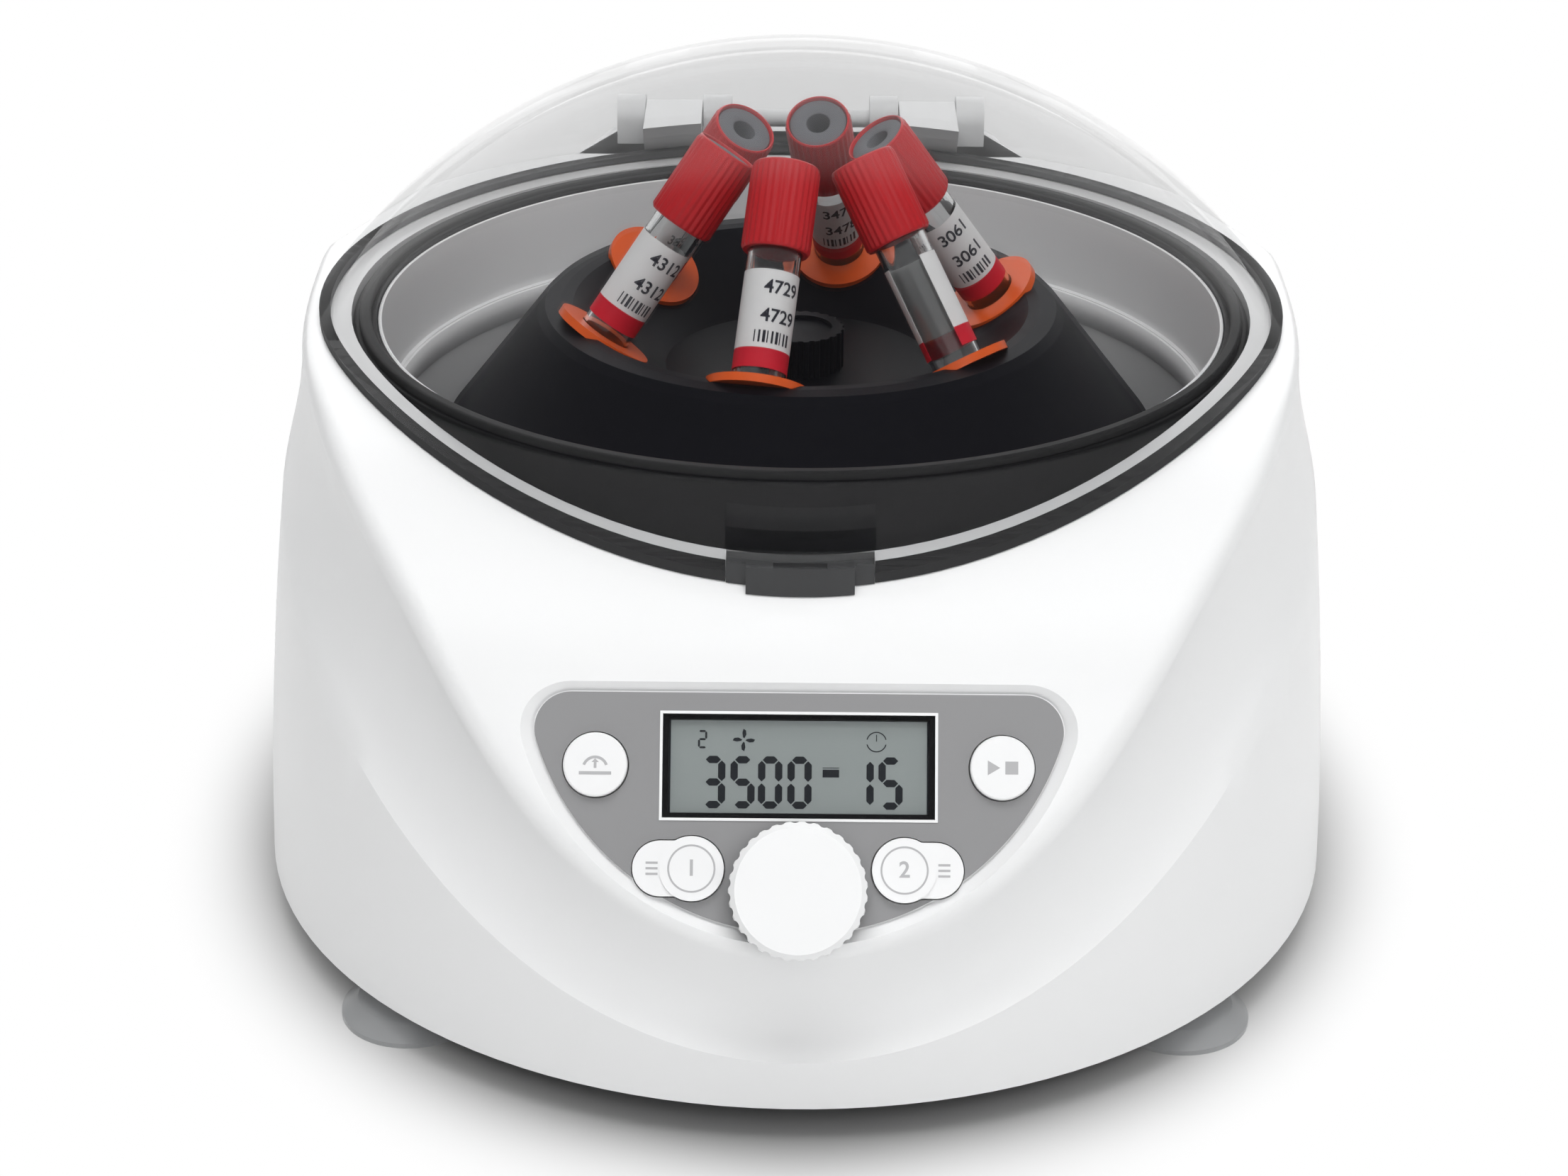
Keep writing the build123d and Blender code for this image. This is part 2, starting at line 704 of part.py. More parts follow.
# Lid: a clear dome on a short skirt whose edge follows the top of the body
inner_sphere = lid_sphere - lid_wall
inner_radius = lid_radius - lid_wall
with BuildPart() as lid_dome:
    with BuildSketch(Plane((0, axis_y, ring_z), x_dir=(1, 0, 0), z_dir=(0, -1, 0))):
        with BuildLine():
            outer_knee = lid_centre + sqrt(lid_sphere ** 2 - lid_radius ** 2)
            inner_knee = lid_centre + sqrt(inner_sphere ** 2 - inner_radius ** 2)
            outer_side = Polyline((lid_radius, outer_knee), (lid_radius, -45), (inner_radius, -45),
                                  (inner_radius, inner_knee))
            inner_dome = RadiusArc(outer_side @ 1, (0, lid_apex - lid_wall), -inner_sphere)
            top_line = Line(inner_dome @ 1, (0, lid_apex))
            RadiusArc(top_line @ 1, outer_side @ 0, lid_sphere)
        make_face()
    revolve(axis=Axis((0, axis_y, 0), (0, 0, 1)))
    add(over_top(lid_gap), mode=Mode.INTERSECT)
    add(front_block(striker_half + 0.1, 12.1), mode=Mode.SUBTRACT)
save(lid_dome, "lid_dome")

with BuildPart() as lid_seal:
    with BuildSketch(at_rotor(-45)):
        Circle(lid_radius - 0.2)
        Circle(inner_radius + 0.1, mode=Mode.SUBTRACT)
    extrude(amount=60)
    add(over_top(seal_gap), mode=Mode.INTERSECT)
    add(over_top(lid_gap), mode=Mode.SUBTRACT)
    add(front_block(striker_half + 0.1, 12.1), mode=Mode.SUBTRACT)
save(lid_seal, "lid_seal")

# Lid striker: the clear block in the skirt with the finger tab outside and the latch tongue below
with BuildPart() as lid_striker:
    with BuildSketch(at_rotor(-45)):
        Circle(lid_radius)
        Circle(striker_inner, mode=Mode.SUBTRACT)
        with Locations((0, -115)):
            Rectangle(2 * striker_half, 30, mode=Mode.INTERSECT)
    extrude(amount=50)
    with BuildSketch(at_rotor(-45)):
        Circle(lid_radius + tab_thick)
        Circle(lid_radius - 1, mode=Mode.SUBTRACT)
        with Locations((0, -115)):
            Rectangle(2 * tab_half, 30, mode=Mode.INTERSECT)
    extrude(amount=50)
    add(over_top(12), mode=Mode.SUBTRACT)
    add(over_top(seal_gap), mode=Mode.INTERSECT)
    with BuildSketch(at_rotor(tongue_end)):
        with Locations((0, tongue_middle)):
            Rectangle(2 * tongue_half, tongue_thick)
    extrude(amount=28)
    with BuildSketch(at_rotor(eye_low)):
        with Locations((0, tongue_middle)):
            Rectangle(2 * eye_half, 3 * tongue_thick)
    extrude(amount=eye_high - eye_low, mode=Mode.SUBTRACT)
save(lid_striker, "lid_striker")

# Hinge arms: two barrels that end on the dome's rear, on one long pin
with BuildPart() as dome_form:
    Sphere(lid_sphere)
    with Locations((0, 0, -lid_centre)):
        Cylinder(lid_radius, 100, mode=Mode.INTERSECT)
with BuildPart() as hinge_arms:
    for x in (-hinge_spread, hinge_spread):
        with BuildSketch(Plane((x - hinge_arm_width / 2, hinge_y, hinge_z), x_dir=(0, 1, 0), z_dir=(1, 0, 0))):
            Circle(hinge_barrel)
            with Locations((-16, 0.8)):
                Rectangle(32, 2 * hinge_barrel - 1.6)
            Circle(hinge_pin_radius + run_fit, mode=Mode.SUBTRACT)
        extrude(amount=hinge_arm_width)
    with Locations((0, axis_y, ring_z + lid_centre)):
        add(dome_form.part, mode=Mode.SUBTRACT)
save(hinge_arms, "hinge_arms")

with BuildPart() as hinge_pin:
    pin_half = hinge_spread + hinge_arm_width / 2 + hinge_side_gap + hinge_ear_width
    with BuildSketch(Plane((-pin_half, hinge_y, hinge_z), x_dir=(0, 1, 0), z_dir=(1, 0, 0))):
        Circle(hinge_pin_radius)
    extrude(amount=2 * pin_half)
save(hinge_pin, "hinge_pin")

# Latch: bracket under the shoulder, gear motor and the hook that it turns into the tongue's eye
latch_side = Plane((0, axis_y + latch_y, ring_z + latch_z), x_dir=(0, -1, 0), z_dir=(-1, 0, 0))
plate_side = Plane((latch_plate_x, axis_y, ring_z), x_dir=(0, 1, 0), z_dir=(1, 0, 0))
with BuildPart() as latch_bracket:
    with BuildSketch(plate_side):
        with Locations((-115.25, -45)):
            Rectangle(18.5, 24)
        with Locations((-108.25, -30)):
            Rectangle(4.5, shoulder_bottom * -2 - 46)
        with Locations((latch_y, latch_z)):
            Circle(3.2, mode=Mode.SUBTRACT)
    extrude(amount=2)
    with BuildSketch(at_rotor(shoulder_bottom)):
        with Locations((latch_plate_x + 8, -108.25)):
            Rectangle(16, 4.5)
    extrude(amount=-2)
save(latch_bracket, "latch_bracket")

with BuildPart() as latch_motor:
    with BuildSketch(Plane((latch_plate_x + 2, axis_y + latch_y, ring_z + latch_z), x_dir=(0, 1, 0),
                           z_dir=(1, 0, 0))):
        Circle(latch_motor_radius)
    extrude(amount=24)
    with BuildSketch(Plane((latch_plate_x + 26, axis_y + latch_y, ring_z + latch_z), x_dir=(0, 1, 0),
                           z_dir=(1, 0, 0))):
        Circle(3)
    extrude(amount=2)
    with BuildSketch(Plane((latch_plate_x + 2, axis_y + latch_y, ring_z + latch_z), x_dir=(0, 1, 0),
                           z_dir=(1, 0, 0))):
        Circle(2 + run_fit)
    extrude(amount=8, mode=Mode.SUBTRACT)
save(latch_motor, "latch_motor")

with BuildPart() as latch_hook:
    with BuildSketch(Plane((-hook_half, axis_y + latch_y, ring_z + latch_z), x_dir=(0, -1, 0), z_dir=(1, 0, 0))):
        Circle(6)
    extrude(amount=2 * hook_half)
    hook_plane = Plane((hook_half, axis_y + latch_y, ring_z + latch_z), x_dir=(0, -1, 0), z_dir=(-1, 0, 0))
    with BuildSketch(hook_plane):
        with BuildLine():
            nose = CenterArc((0, 0), hook_outer, 90 - hook_rest - hook_sweep, hook_sweep)
            back = CenterArc((0, 0), hook_inner, 90 - hook_rest - hook_sweep, hook_sweep)
            Line(nose @ 0, back @ 0)
            Line(nose @ 1, back @ 1)
        make_face()
        with BuildLine():
            start = 90 - hook_rest - hook_sweep
            rim = CenterArc((0, 0), hook_inner + 0.5, start, hook_arm)
            Polyline(rim @ 1, (0, 0), rim @ 0)
        make_face()
    extrude(amount=2 * hook_half)
    with BuildSketch(Plane((hook_half, axis_y + latch_y, ring_z + latch_z), x_dir=(0, 1, 0), z_dir=(1, 0, 0))):
        Circle(2)
    extrude(amount=latch_plate_x - hook_half + 9.5)
save(latch_hook, "latch_hook")

# Panel overlay: the grey sheet in the recess, with openings for display, buttons, keys and knob
with BuildPart() as panel_overlay:
    with BuildSketch(on_panel(-recess_depth)):
        add(panel_shape())
        with Locations((0, -lcd_drop)):
            Rectangle(lcd_width, lcd_height, mode=Mode.SUBTRACT)
        with Locations(button_places):
            Circle(button_radius + press_gap, mode=Mode.SUBTRACT)
        add(key_shape(-1, press_gap), mode=Mode.SUBTRACT)
        add(key_shape(1, press_gap), mode=Mode.SUBTRACT)
        with Locations((0, -knob_drop)):
            Circle(bushing_radius + press_gap, mode=Mode.SUBTRACT)
    extrude(amount=overlay_thick)
save(panel_overlay, "panel_overlay")
overlay_top = overlay_thick - recess_depth

# Display: white frame, clear window, dark shroud and the display module behind them
with BuildPart() as lcd_bezel:
    with BuildSketch(on_panel(-recess_depth)):
        with Locations((0, -lcd_drop)):
            Rectangle(lcd_width, lcd_height)
            Rectangle(lcd_width - 2 * lcd_frame, lcd_height - 2 * lcd_frame, mode=Mode.SUBTRACT)
    extrude(amount=overlay_thick + 0.2)
save(lcd_bezel, "lcd_bezel")

with BuildPart() as lcd_window:
    with BuildSketch(on_panel(overlay_top - 0.9)):
        with Locations((0, -lcd_drop)):
            Rectangle(lcd_width - 2 * lcd_frame - 0.1, lcd_height - 2 * lcd_frame - 0.1)
    extrude(amount=0.9)
save(lcd_window, "lcd_window")

with BuildPart() as lcd_shroud:
    with BuildSketch(on_panel(-top_wall - 0.5)):
        with Locations((0, -lcd_drop)):
            Rectangle(lcd_width - 2 * lcd_frame - 0.2, lcd_height - 2 * lcd_frame - 0.2)
            Rectangle(lcd_width - 2 * lcd_frame - 2.6, lcd_height - 2 * lcd_frame - 2.2, mode=Mode.SUBTRACT)
    extrude(amount=top_wall + 0.5 - recess_depth - 0.1)
save(lcd_shroud, "lcd_shroud")

with BuildPart() as lcd_module:
    with BuildSketch(on_panel(-board_depth)):
        with Locations((0, -lcd_drop)):
            Rectangle(66, 27)
    extrude(amount=board_depth - top_wall - 0.5)
    with BuildSketch(on_panel(-top_wall - 0.5)):
        with Locations((0, -lcd_drop)):
            Rectangle(lcd_width - 2 * lcd_frame - 2.8, lcd_height - 2 * lcd_frame - 2.4)
    extrude(amount=1.9)
save(lcd_module, "lcd_module")

# Round buttons: the left one releases the lid, the right one starts and stops
for side, name in [(-1, "lid_button"), (1, "start_button")]:
    with BuildPart() as button:
        with BuildSketch(on_panel(-top_wall - press_gap)):
            with Locations((side * button_spread, -button_drop)):
                Circle(button_radius)
        extrude(amount=top_wall + press_gap + overlay_top + button_stand)
        with BuildSketch(on_panel(-top_wall - press_gap)):
            with Locations((side * button_spread, -button_drop)):
                Circle(button_radius + 1.5)
        extrude(amount=-1.2)
        fillet(button.edges().group_by(Axis(on_panel().origin, panel_normal))[-1], 0.5)
    save(button, name)

# Preset keys: a disc with a pill beside it, moved as one piece
for side, name in [(-1, "preset_key_1"), (1, "preset_key_2")]:
    with BuildPart() as key:
        with BuildSketch(on_panel(-top_wall - press_gap)):
            add(key_shape(side))
        extrude(amount=top_wall + press_gap + overlay_top + button_stand - 0.5)
        with BuildSketch(on_panel(-top_wall - press_gap)):
            with Locations((side * key_spread, -key_drop)):
                Circle(button_radius)
        extrude(amount=top_wall + press_gap + overlay_top + button_stand)
        with BuildSketch(on_panel(-top_wall - press_gap)):
            add(key_shape(side, 1.2))
        extrude(amount=-1.2)
    save(key, name)

# Encoder: the body on the board, the plunger that slides in it and the shaft that turns in the plunger
knob_spot = on_panel() * Location((0, -knob_drop, 0))
with BuildPart() as encoder_body:
    with Locations(knob_spot):
        with Locations((0, 0, -board_depth)):
            Box(12, 12, 6.5, align=(Align.CENTER, Align.CENTER, Align.MIN))
        with Locations((0, 0, -top_wall - 0.6)):
            Cylinder(bushing_radius, top_wall + 1.0, align=(Align.CENTER, Align.CENTER, Align.MIN))
        with Locations((0, 0, -board_depth + 1.5)):
            Cylinder(3.5 + run_fit, board_depth, align=(Align.CENTER, Align.CENTER, Align.MIN), mode=Mode.SUBTRACT)
save(encoder_body, "encoder_body")

with BuildPart() as encoder_plunger:
    with Locations(knob_spot):
        with Locations((0, 0, -board_depth + 2.5)):
            Cylinder(3.5, board_depth - 3.3, align=(Align.CENTER, Align.CENTER, Align.MIN))
        with Locations((0, 0, -board_depth + 3.7)):
            Cylinder(2.8 + run_fit, board_depth, align=(Align.CENTER, Align.CENTER, Align.MIN), mode=Mode.SUBTRACT)
save(encoder_plunger, "encoder_plunger")

with BuildPart() as encoder_shaft:
    with Locations(knob_spot):
        with Locations((0, 0, -board_depth + 3.8)):
            Cylinder(2.8, board_depth + 4.4, align=(Align.CENTER, Align.CENTER, Align.MIN))
        with Locations((2.3, 0, knob_gap + 2)):
            Box(1.4, 8, 20, align=(Align.MIN, Align.CENTER, Align.MIN), mode=Mode.SUBTRACT)
save(encoder_shaft, "encoder_shaft")

# Knob: a scalloped disc with rounded rims, hollow below, on the encoder's shaft
with BuildPart() as knob:
    with BuildSketch(on_panel(knob_gap)):
        with Locations((0, -knob_drop)):
            Circle(knob_radius)
            with PolarLocations(knob_radius + 0.75, knob_ribs):
                Circle(1.35, mode=Mode.SUBTRACT)
    extrude(amount=knob_length)
    with Locations(knob_spot):
        add(turned([(0, knob_gap), (knob_radius - 0.5, knob_gap), (knob_radius + 0.2, knob_gap + 1.2),
                    (knob_radius - 0.3, knob_gap + knob_length - 1.2), (knob_radius - 1.5, knob_gap + knob_length),
                    (0, knob_gap + knob_length)]), mode=Mode.INTERSECT)
        add(turned([(5, knob_gap - 1), (13, knob_gap - 1), (13, knob_gap + 8), (5, knob_gap + 8)]),
            mode=Mode.SUBTRACT)
        with Locations((0, 0, knob_gap - 1)):
            Cylinder(4.6, 3, align=(Align.CENTER, Align.CENTER, Align.MIN), mode=Mode.SUBTRACT)
            Cylinder(2.82, 8.2, align=(Align.CENTER, Align.CENTER, Align.MIN), mode=Mode.SUBTRACT)
save(knob, "knob")

# Keypad board on the housing's pegs, with a switch under each button
press_spots = button_places + [(-key_spread, -key_drop), (key_spread, -key_drop)]
with BuildPart() as keypad_board:
    with BuildSketch(on_panel(-board_depth - board_thick)):
        add(panel_shape(-3))
        with Locations(peg_spots):
            Circle(1.5, mode=Mode.SUBTRACT)
    extrude(amount=board_thick)
save(keypad_board, "keypad_board")

with BuildPart() as board_screws:
    with Locations([on_panel(-board_depth - board_thick) * Location((x, y, 0)) for x, y in peg_spots]):
        add(turned([(0, -1.6), (1.8, -1.6), (2.3, -0.8), (2.3, 0), (1.2, 0), (1.2, 7), (0, 7)]))
save(board_screws, "board_screws")

with BuildPart() as tact_switches:
    with Locations([on_panel(-board_depth) * Location((x, y, 0)) for x, y in press_spots]):
        Box(6, 6, 3.5, align=(Align.CENTER, Align.CENTER, Align.MIN))
        Cylinder(1.75, 4.4, align=(Align.CENTER, Align.CENTER, Align.MIN))
save(tact_switches, "tact_switches")

# Main board on standoffs, with the parts of its power supply and motor drive
stand_spots = [(board_x + x, board_y + y) for x in (5 - board_length / 2, board_length / 2 - 5)
               for y in (5 - board_width / 2, board_width / 2 - 5)]
board_floor = base_top + stand_height
with BuildPart() as board_standoffs:
    with BuildSketch(at_rotor(base_top)):
        with Locations(stand_spots):
            RegularPolygon(3.2, 6)
    extrude(amount=stand_height)
save(board_standoffs, "board_standoffs")

with BuildPart() as main_board:
    with BuildSketch(at_rotor(board_floor)):
        with Locations((board_x, board_y)):
            RectangleRounded(board_length, board_width, 3)
    extrude(amount=board_thick)
save(main_board, "main_board")

with BuildPart() as board_parts:
    with BuildSketch(at_rotor(board_floor + board_thick)):
        with Locations((board_x - 20, board_y + 12)):
            Rectangle(28, 24)
        with Locations((board_x + 26, board_y - 14)):
            Rectangle(8, 26)
    extrude(amount=22)
    with BuildSketch(at_rotor(board_floor + board_thick)):
        with Locations((board_x + 8, board_y + 14), (board_x + 24, board_y + 14)):
            Circle(6.3)
    extrude(amount=20)
    with BuildSketch(at_rotor(board_floor + board_thick)):
        with Locations((board_x - 28, board_y - 18)):
            Rectangle(14, 10)
        with Locations((board_x - 6, board_y - 18)):
            Rectangle(20, 8)
    extrude(amount=9)
save(board_parts, "board_parts")

# Mains inlet: the three-pin socket in the rear wall, with its pins
rear_face = Plane((0, axis_y + rear_reach, ring_z), x_dir=(-1, 0, 0), z_dir=(0, 1, 0))
inlet_spot = rear_face * Location((inlet_x, rear_row, 0))
with BuildPart() as mains_inlet:
    with Locations(inlet_spot):
        Box(inlet_width + 4, inlet_height + 4, 2, align=(Align.CENTER, Align.CENTER, Align.MIN))
        Box(inlet_width, inlet_height, 20, align=(Align.CENTER, Align.CENTER, Align.MAX))
    with BuildSketch(rear_face * Location((inlet_x, rear_row, 2))):
        Polygon((-12, -8), (12, -8), (12, 4), (8, 8), (-8, 8), (-12, 4), align=None)
    extrude(amount=-17, mode=Mode.SUBTRACT)
save(mains_inlet, "mains_inlet")

with BuildPart() as inlet_pins:
    with Locations([inlet_spot * Location((x, y, -15)) for x, y in [(-7, -2), (7, -2), (0, 2)]]):
        Box(2, 4, 12, align=(Align.CENTER, Align.CENTER, Align.MIN))
save(inlet_pins, "inlet_pins")

# Power switch: the body in the rear wall and the rocker that tips about a pin across it
switch_spot = rear_face * Location((switch_x, rear_row, 0))
rocker_drop = 1.0
rocker_reach = 7.9
rocker_half = 4.4
rocker_tip = 10
with BuildPart() as switch_body:
    with Locations(switch_spot):
        Box(switch_width + 2.4, switch_height + 2.4, 1.5, align=(Align.CENTER, Align.CENTER, Align.MIN))
        Box(switch_width, switch_height, 16, align=(Align.CENTER, Align.CENTER, Align.MAX))
        with Locations((0, 0, 1.5)):
            Box(2 * rocker_half + 0.6, 2 * rocker_reach + 0.6, 11, align=(Align.CENTER, Align.CENTER, Align.MAX),
                mode=Mode.SUBTRACT)
        with Locations((0, 0, 1.5 - rocker_drop)):
            Cylinder(1.2 + run_fit, 2 * rocker_half + 2.6, rotation=(0, 90, 0), mode=Mode.SUBTRACT)
save(switch_body, "switch_body")

with BuildPart() as rocker:
    with Locations(switch_spot * Location((0, 0, 1.5 - rocker_drop), (-rocker_tip, 0, 0))):
        Cylinder(rocker_reach, 2 * rocker_half, rotation=(0, 90, 0))
        with Locations((0, 0, -4.5)):
            Box(20, 20, 10, align=(Align.CENTER, Align.CENTER, Align.MAX), mode=Mode.SUBTRACT)
        with Locations((0, 0, 2)):
            Box(20, 20, 10, rotation=(15, 0, 0), align=(Align.CENTER, Align.MIN, Align.MIN), mode=Mode.SUBTRACT)
            Box(20, 20, 10, rotation=(-15, 0, 0), align=(Align.CENTER, Align.MAX, Align.MIN), mode=Mode.SUBTRACT)
        Cylinder(1.2, 2 * rocker_half + 2.4, rotation=(0, 90, 0))
save(rocker, "rocker")
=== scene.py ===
import bpy
import bmesh
from math import atan2, cos, pi, radians, sin, sqrt
from mathutils import Matrix, Vector


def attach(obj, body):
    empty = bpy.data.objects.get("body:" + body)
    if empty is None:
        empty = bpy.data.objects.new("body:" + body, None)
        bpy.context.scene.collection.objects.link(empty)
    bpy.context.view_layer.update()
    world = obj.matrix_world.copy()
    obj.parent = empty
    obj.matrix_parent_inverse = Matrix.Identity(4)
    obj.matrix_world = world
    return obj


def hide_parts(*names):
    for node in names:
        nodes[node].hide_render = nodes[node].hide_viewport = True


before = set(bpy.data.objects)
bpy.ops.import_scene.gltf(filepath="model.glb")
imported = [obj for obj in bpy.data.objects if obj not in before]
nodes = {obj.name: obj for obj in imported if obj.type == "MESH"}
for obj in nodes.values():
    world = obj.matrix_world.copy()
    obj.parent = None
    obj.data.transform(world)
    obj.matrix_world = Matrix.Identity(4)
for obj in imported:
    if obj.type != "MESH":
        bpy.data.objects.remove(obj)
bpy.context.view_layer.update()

# Camera, where the photograph was taken from: 75 cm in front of the rotor's axis and above it, with a
# long lens that looks down by 26 degrees. That axis and the top of the black ring place the other pieces.
axis_y = 0.01466
ring_z = 0.1365
photo_width, focal_pixels = 2212, 4500
camera = bpy.data.objects.new("camera", bpy.data.cameras.new("camera"))
bpy.context.scene.collection.objects.link(camera)
bpy.context.scene.camera = camera
pitch, roll = radians(25.70), radians(0.52)
right, raised = Vector((1, 0, 0)), Vector((0, sin(pitch), cos(pitch)))
turned_right = right * cos(roll) + raised * sin(roll)
turned_up = raised * cos(roll) - right * sin(roll)
ahead = Vector((0, cos(pitch), -sin(pitch)))
camera.matrix_world = Matrix((turned_right, turned_up, -ahead)).transposed().to_4x4()
eye_aside, eye_back, eye_above = -0.00356, 0.7523, 0.2849
camera.location = (eye_aside, axis_y - eye_back, ring_z + eye_above)
camera.data.sensor_width = 36
camera.data.lens = focal_pixels / photo_width * camera.data.sensor_width
camera.data.clip_start = 0.01
camera.data.clip_end = 50
bpy.context.scene.view_settings.view_transform = "Standard"

# Floor: a wide pale sheet under the object. Close round the body's footprint its colour darkens into a
# painted shadow that deepens the real one, and further out it fades to plain white for the camera, also
# through clear pieces. The body is lit by it as by paper.
body_half_width, body_half_depth, body_middle = 0.134, 0.155, 0.0055
studio_white = bpy.data.materials.new("studio_white")
studio_white.use_nodes = True
floor_nodes, floor_links = studio_white.node_tree.nodes, studio_white.node_tree.links
seen_floor = floor_nodes["Principled BSDF"]
seen_floor.inputs["Roughness"].default_value = 0.9
seen_floor.inputs["Specular IOR Level"].default_value = 0.1
dim_floor = floor_nodes.new("ShaderNodeBsdfDiffuse")
dim_floor.inputs["Color"].default_value = (0.85, 0.85, 0.85, 1)
floor_place = floor_nodes.new("ShaderNodeTexCoord")
footprint = floor_nodes.new("ShaderNodeMapping")
footprint.inputs["Location"].default_value = (0, -body_middle / body_half_depth, 0)
footprint.inputs["Scale"].default_value = (1 / body_half_width, 1 / body_half_depth, 0)
away = floor_nodes.new("ShaderNodeVectorMath")
away.operation = "LENGTH"
# Painted shadow: the floor's colour darkens from 0.9 far out to 0.25 close round the body's footprint.
painted_shadow = floor_nodes.new("ShaderNodeMapRange")
painted_shadow.interpolation_type = "SMOOTHSTEP"
painted_shadow.inputs["From Min"].default_value = 0.88
painted_shadow.inputs["From Max"].default_value = 1.3
painted_shadow.inputs["To Min"].default_value = 0.25
painted_shadow.inputs["To Max"].default_value = 0.9
glow = floor_nodes.new("ShaderNodeMapRange")
glow.interpolation_type = "SMOOTHSTEP"
glow.inputs["From Min"].default_value = 0.93
glow.inputs["From Max"].default_value = 1.3
white_glow = floor_nodes.new("ShaderNodeEmission")
white_glow.inputs["Strength"].default_value = 1.0
seen = floor_nodes.new("ShaderNodeLightPath")
seen_or_clear = floor_nodes.new("ShaderNodeMath")
seen_or_clear.operation = "MAXIMUM"
lit_or_glow = floor_nodes.new("ShaderNodeMixShader")
dim_or_seen = floor_nodes.new("ShaderNodeMixShader")
floor_links.new(floor_place.outputs["Object"], footprint.inputs["Vector"])
floor_links.new(footprint.outputs["Vector"], away.inputs[0])
floor_links.new(away.outputs["Value"], painted_shadow.inputs["Value"])
floor_links.new(away.outputs["Value"], glow.inputs["Value"])
floor_links.new(painted_shadow.outputs["Result"], seen_floor.inputs["Base Color"])
floor_links.new(glow.outputs["Result"], lit_or_glow.inputs[0])
floor_links.new(seen_floor.outputs[0], lit_or_glow.inputs[1])
floor_links.new(white_glow.outputs[0], lit_or_glow.inputs[2])
floor_links.new(seen.outputs["Is Camera Ray"], seen_or_clear.inputs[0])
floor_links.new(seen.outputs["Is Transmission Ray"], seen_or_clear.inputs[1])
floor_links.new(seen_or_clear.outputs[0], dim_or_seen.inputs[0])
floor_links.new(dim_floor.outputs[0], dim_or_seen.inputs[1])
floor_links.new(lit_or_glow.outputs[0], dim_or_seen.inputs[2])
floor_links.new(dim_or_seen.outputs[0], floor_nodes["Material Output"].inputs["Surface"])

floor_form = bmesh.new()
bmesh.ops.create_grid(floor_form, x_segments=1, y_segments=1, size=3)
floor_mesh = bpy.data.meshes.new("floor")
floor_form.to_mesh(floor_mesh)
floor_form.free()
floor = bpy.data.objects.new("floor", floor_mesh)
floor_mesh.materials.append(studio_white)
bpy.context.scene.collection.objects.link(floor)

# Studio light: a softly lit tent with a bright round screen behind the object, which shows as a veil on
# the upper dome, and lamps above, in front and at the sides. What is seen behind, also through clear
# pieces, is white.
world = bpy.data.worlds.new("studio")
bpy.context.scene.world = world
world.use_nodes = True
sky_nodes, sky_links = world.node_tree.nodes, world.node_tree.links
lit_sky = sky_nodes["Background"]
lit_sky.inputs["Color"].default_value = (1, 1, 1, 1)
sky_place = sky_nodes.new("ShaderNodeTexCoord")
toward_screen = sky_nodes.new("ShaderNodeVectorMath")
toward_screen.operation = "DOT_PRODUCT"
screen_height = radians(20)
toward_screen.inputs[1].default_value = (0, cos(screen_height), sin(screen_height))
diffuser = sky_nodes.new("ShaderNodeMapRange")
diffuser.interpolation_type = "SMOOTHSTEP"
diffuser.inputs["From Min"].default_value = 0.70
diffuser.inputs["From Max"].default_value = 0.82
diffuser.inputs["To Min"].default_value = 0.2
diffuser.inputs["To Max"].default_value = 1.6
sky_links.new(sky_place.outputs["Generated"], toward_screen.inputs[0])
sky_links.new(toward_screen.outputs["Value"], diffuser.inputs["Value"])
sky_links.new(diffuser.outputs["Result"], lit_sky.inputs["Strength"])
white_sky = sky_nodes.new("ShaderNodeBackground")
white_sky.inputs["Color"].default_value = (1, 1, 1, 1)
sky_rays = sky_nodes.new("ShaderNodeLightPath")
seen_or_through = sky_nodes.new("ShaderNodeMath")
seen_or_through.operation = "MAXIMUM"
sky_mix = sky_nodes.new("ShaderNodeMixShader")
sky_links.new(sky_rays.outputs["Is Camera Ray"], seen_or_through.inputs[0])
sky_links.new(sky_rays.outputs["Is Transmission Ray"], seen_or_through.inputs[1])
sky_links.new(seen_or_through.outputs[0], sky_mix.inputs[0])
sky_links.new(lit_sky.outputs[0], sky_mix.inputs[1])
sky_links.new(white_sky.outputs[0], sky_mix.inputs[2])
sky_links.new(sky_mix.outputs[0], sky_nodes["World Output"].inputs["Surface"])


def soft_light(name, place, target, width, height, watts):
    """A rectangular lamp at a place, turned to face its target."""
    lamp = bpy.data.lights.new(name, "AREA")
    lamp.shape = "RECTANGLE"
    lamp.size, lamp.size_y, lamp.energy = width, height, watts
    holder = bpy.data.objects.new(name, lamp)
    bpy.context.scene.collection.objects.link(holder)
    holder.location = place
    holder.rotation_euler = (Vector(target) - Vector(place)).to_track_quat("-Z", "Y").to_euler()
    holder.visible_glossy = False
    holder.visible_transmission = False


soft_light("top_panel", (0.0, -0.35, 1.6), (0, 0, 0.1), 1.0, 1.0, 17.5)
soft_light("front_panel", (0.2, -1.6, 1.1), (0, 0, 0.1), 1.0, 0.7, 12)
soft_light("left_panel", (-1.5, -0.3, 0.7), (0, 0, 0.1), 0.7, 1.0, 0.4)
soft_light("right_panel", (1.5, -0.3, 0.7), (0, 0, 0.1), 0.7, 1.0, 2.5)

# Housing shell: one glossy white moulding, wall 3 mm, with a hollow sweep on each side of a flat bib. Its
# form is the solid's, merged so that it shades smoothly, with the rear corners drawn in towards the lid,
# so that the deck runs round it as one curve. The hinge's bump and the lower edge stay as they are.


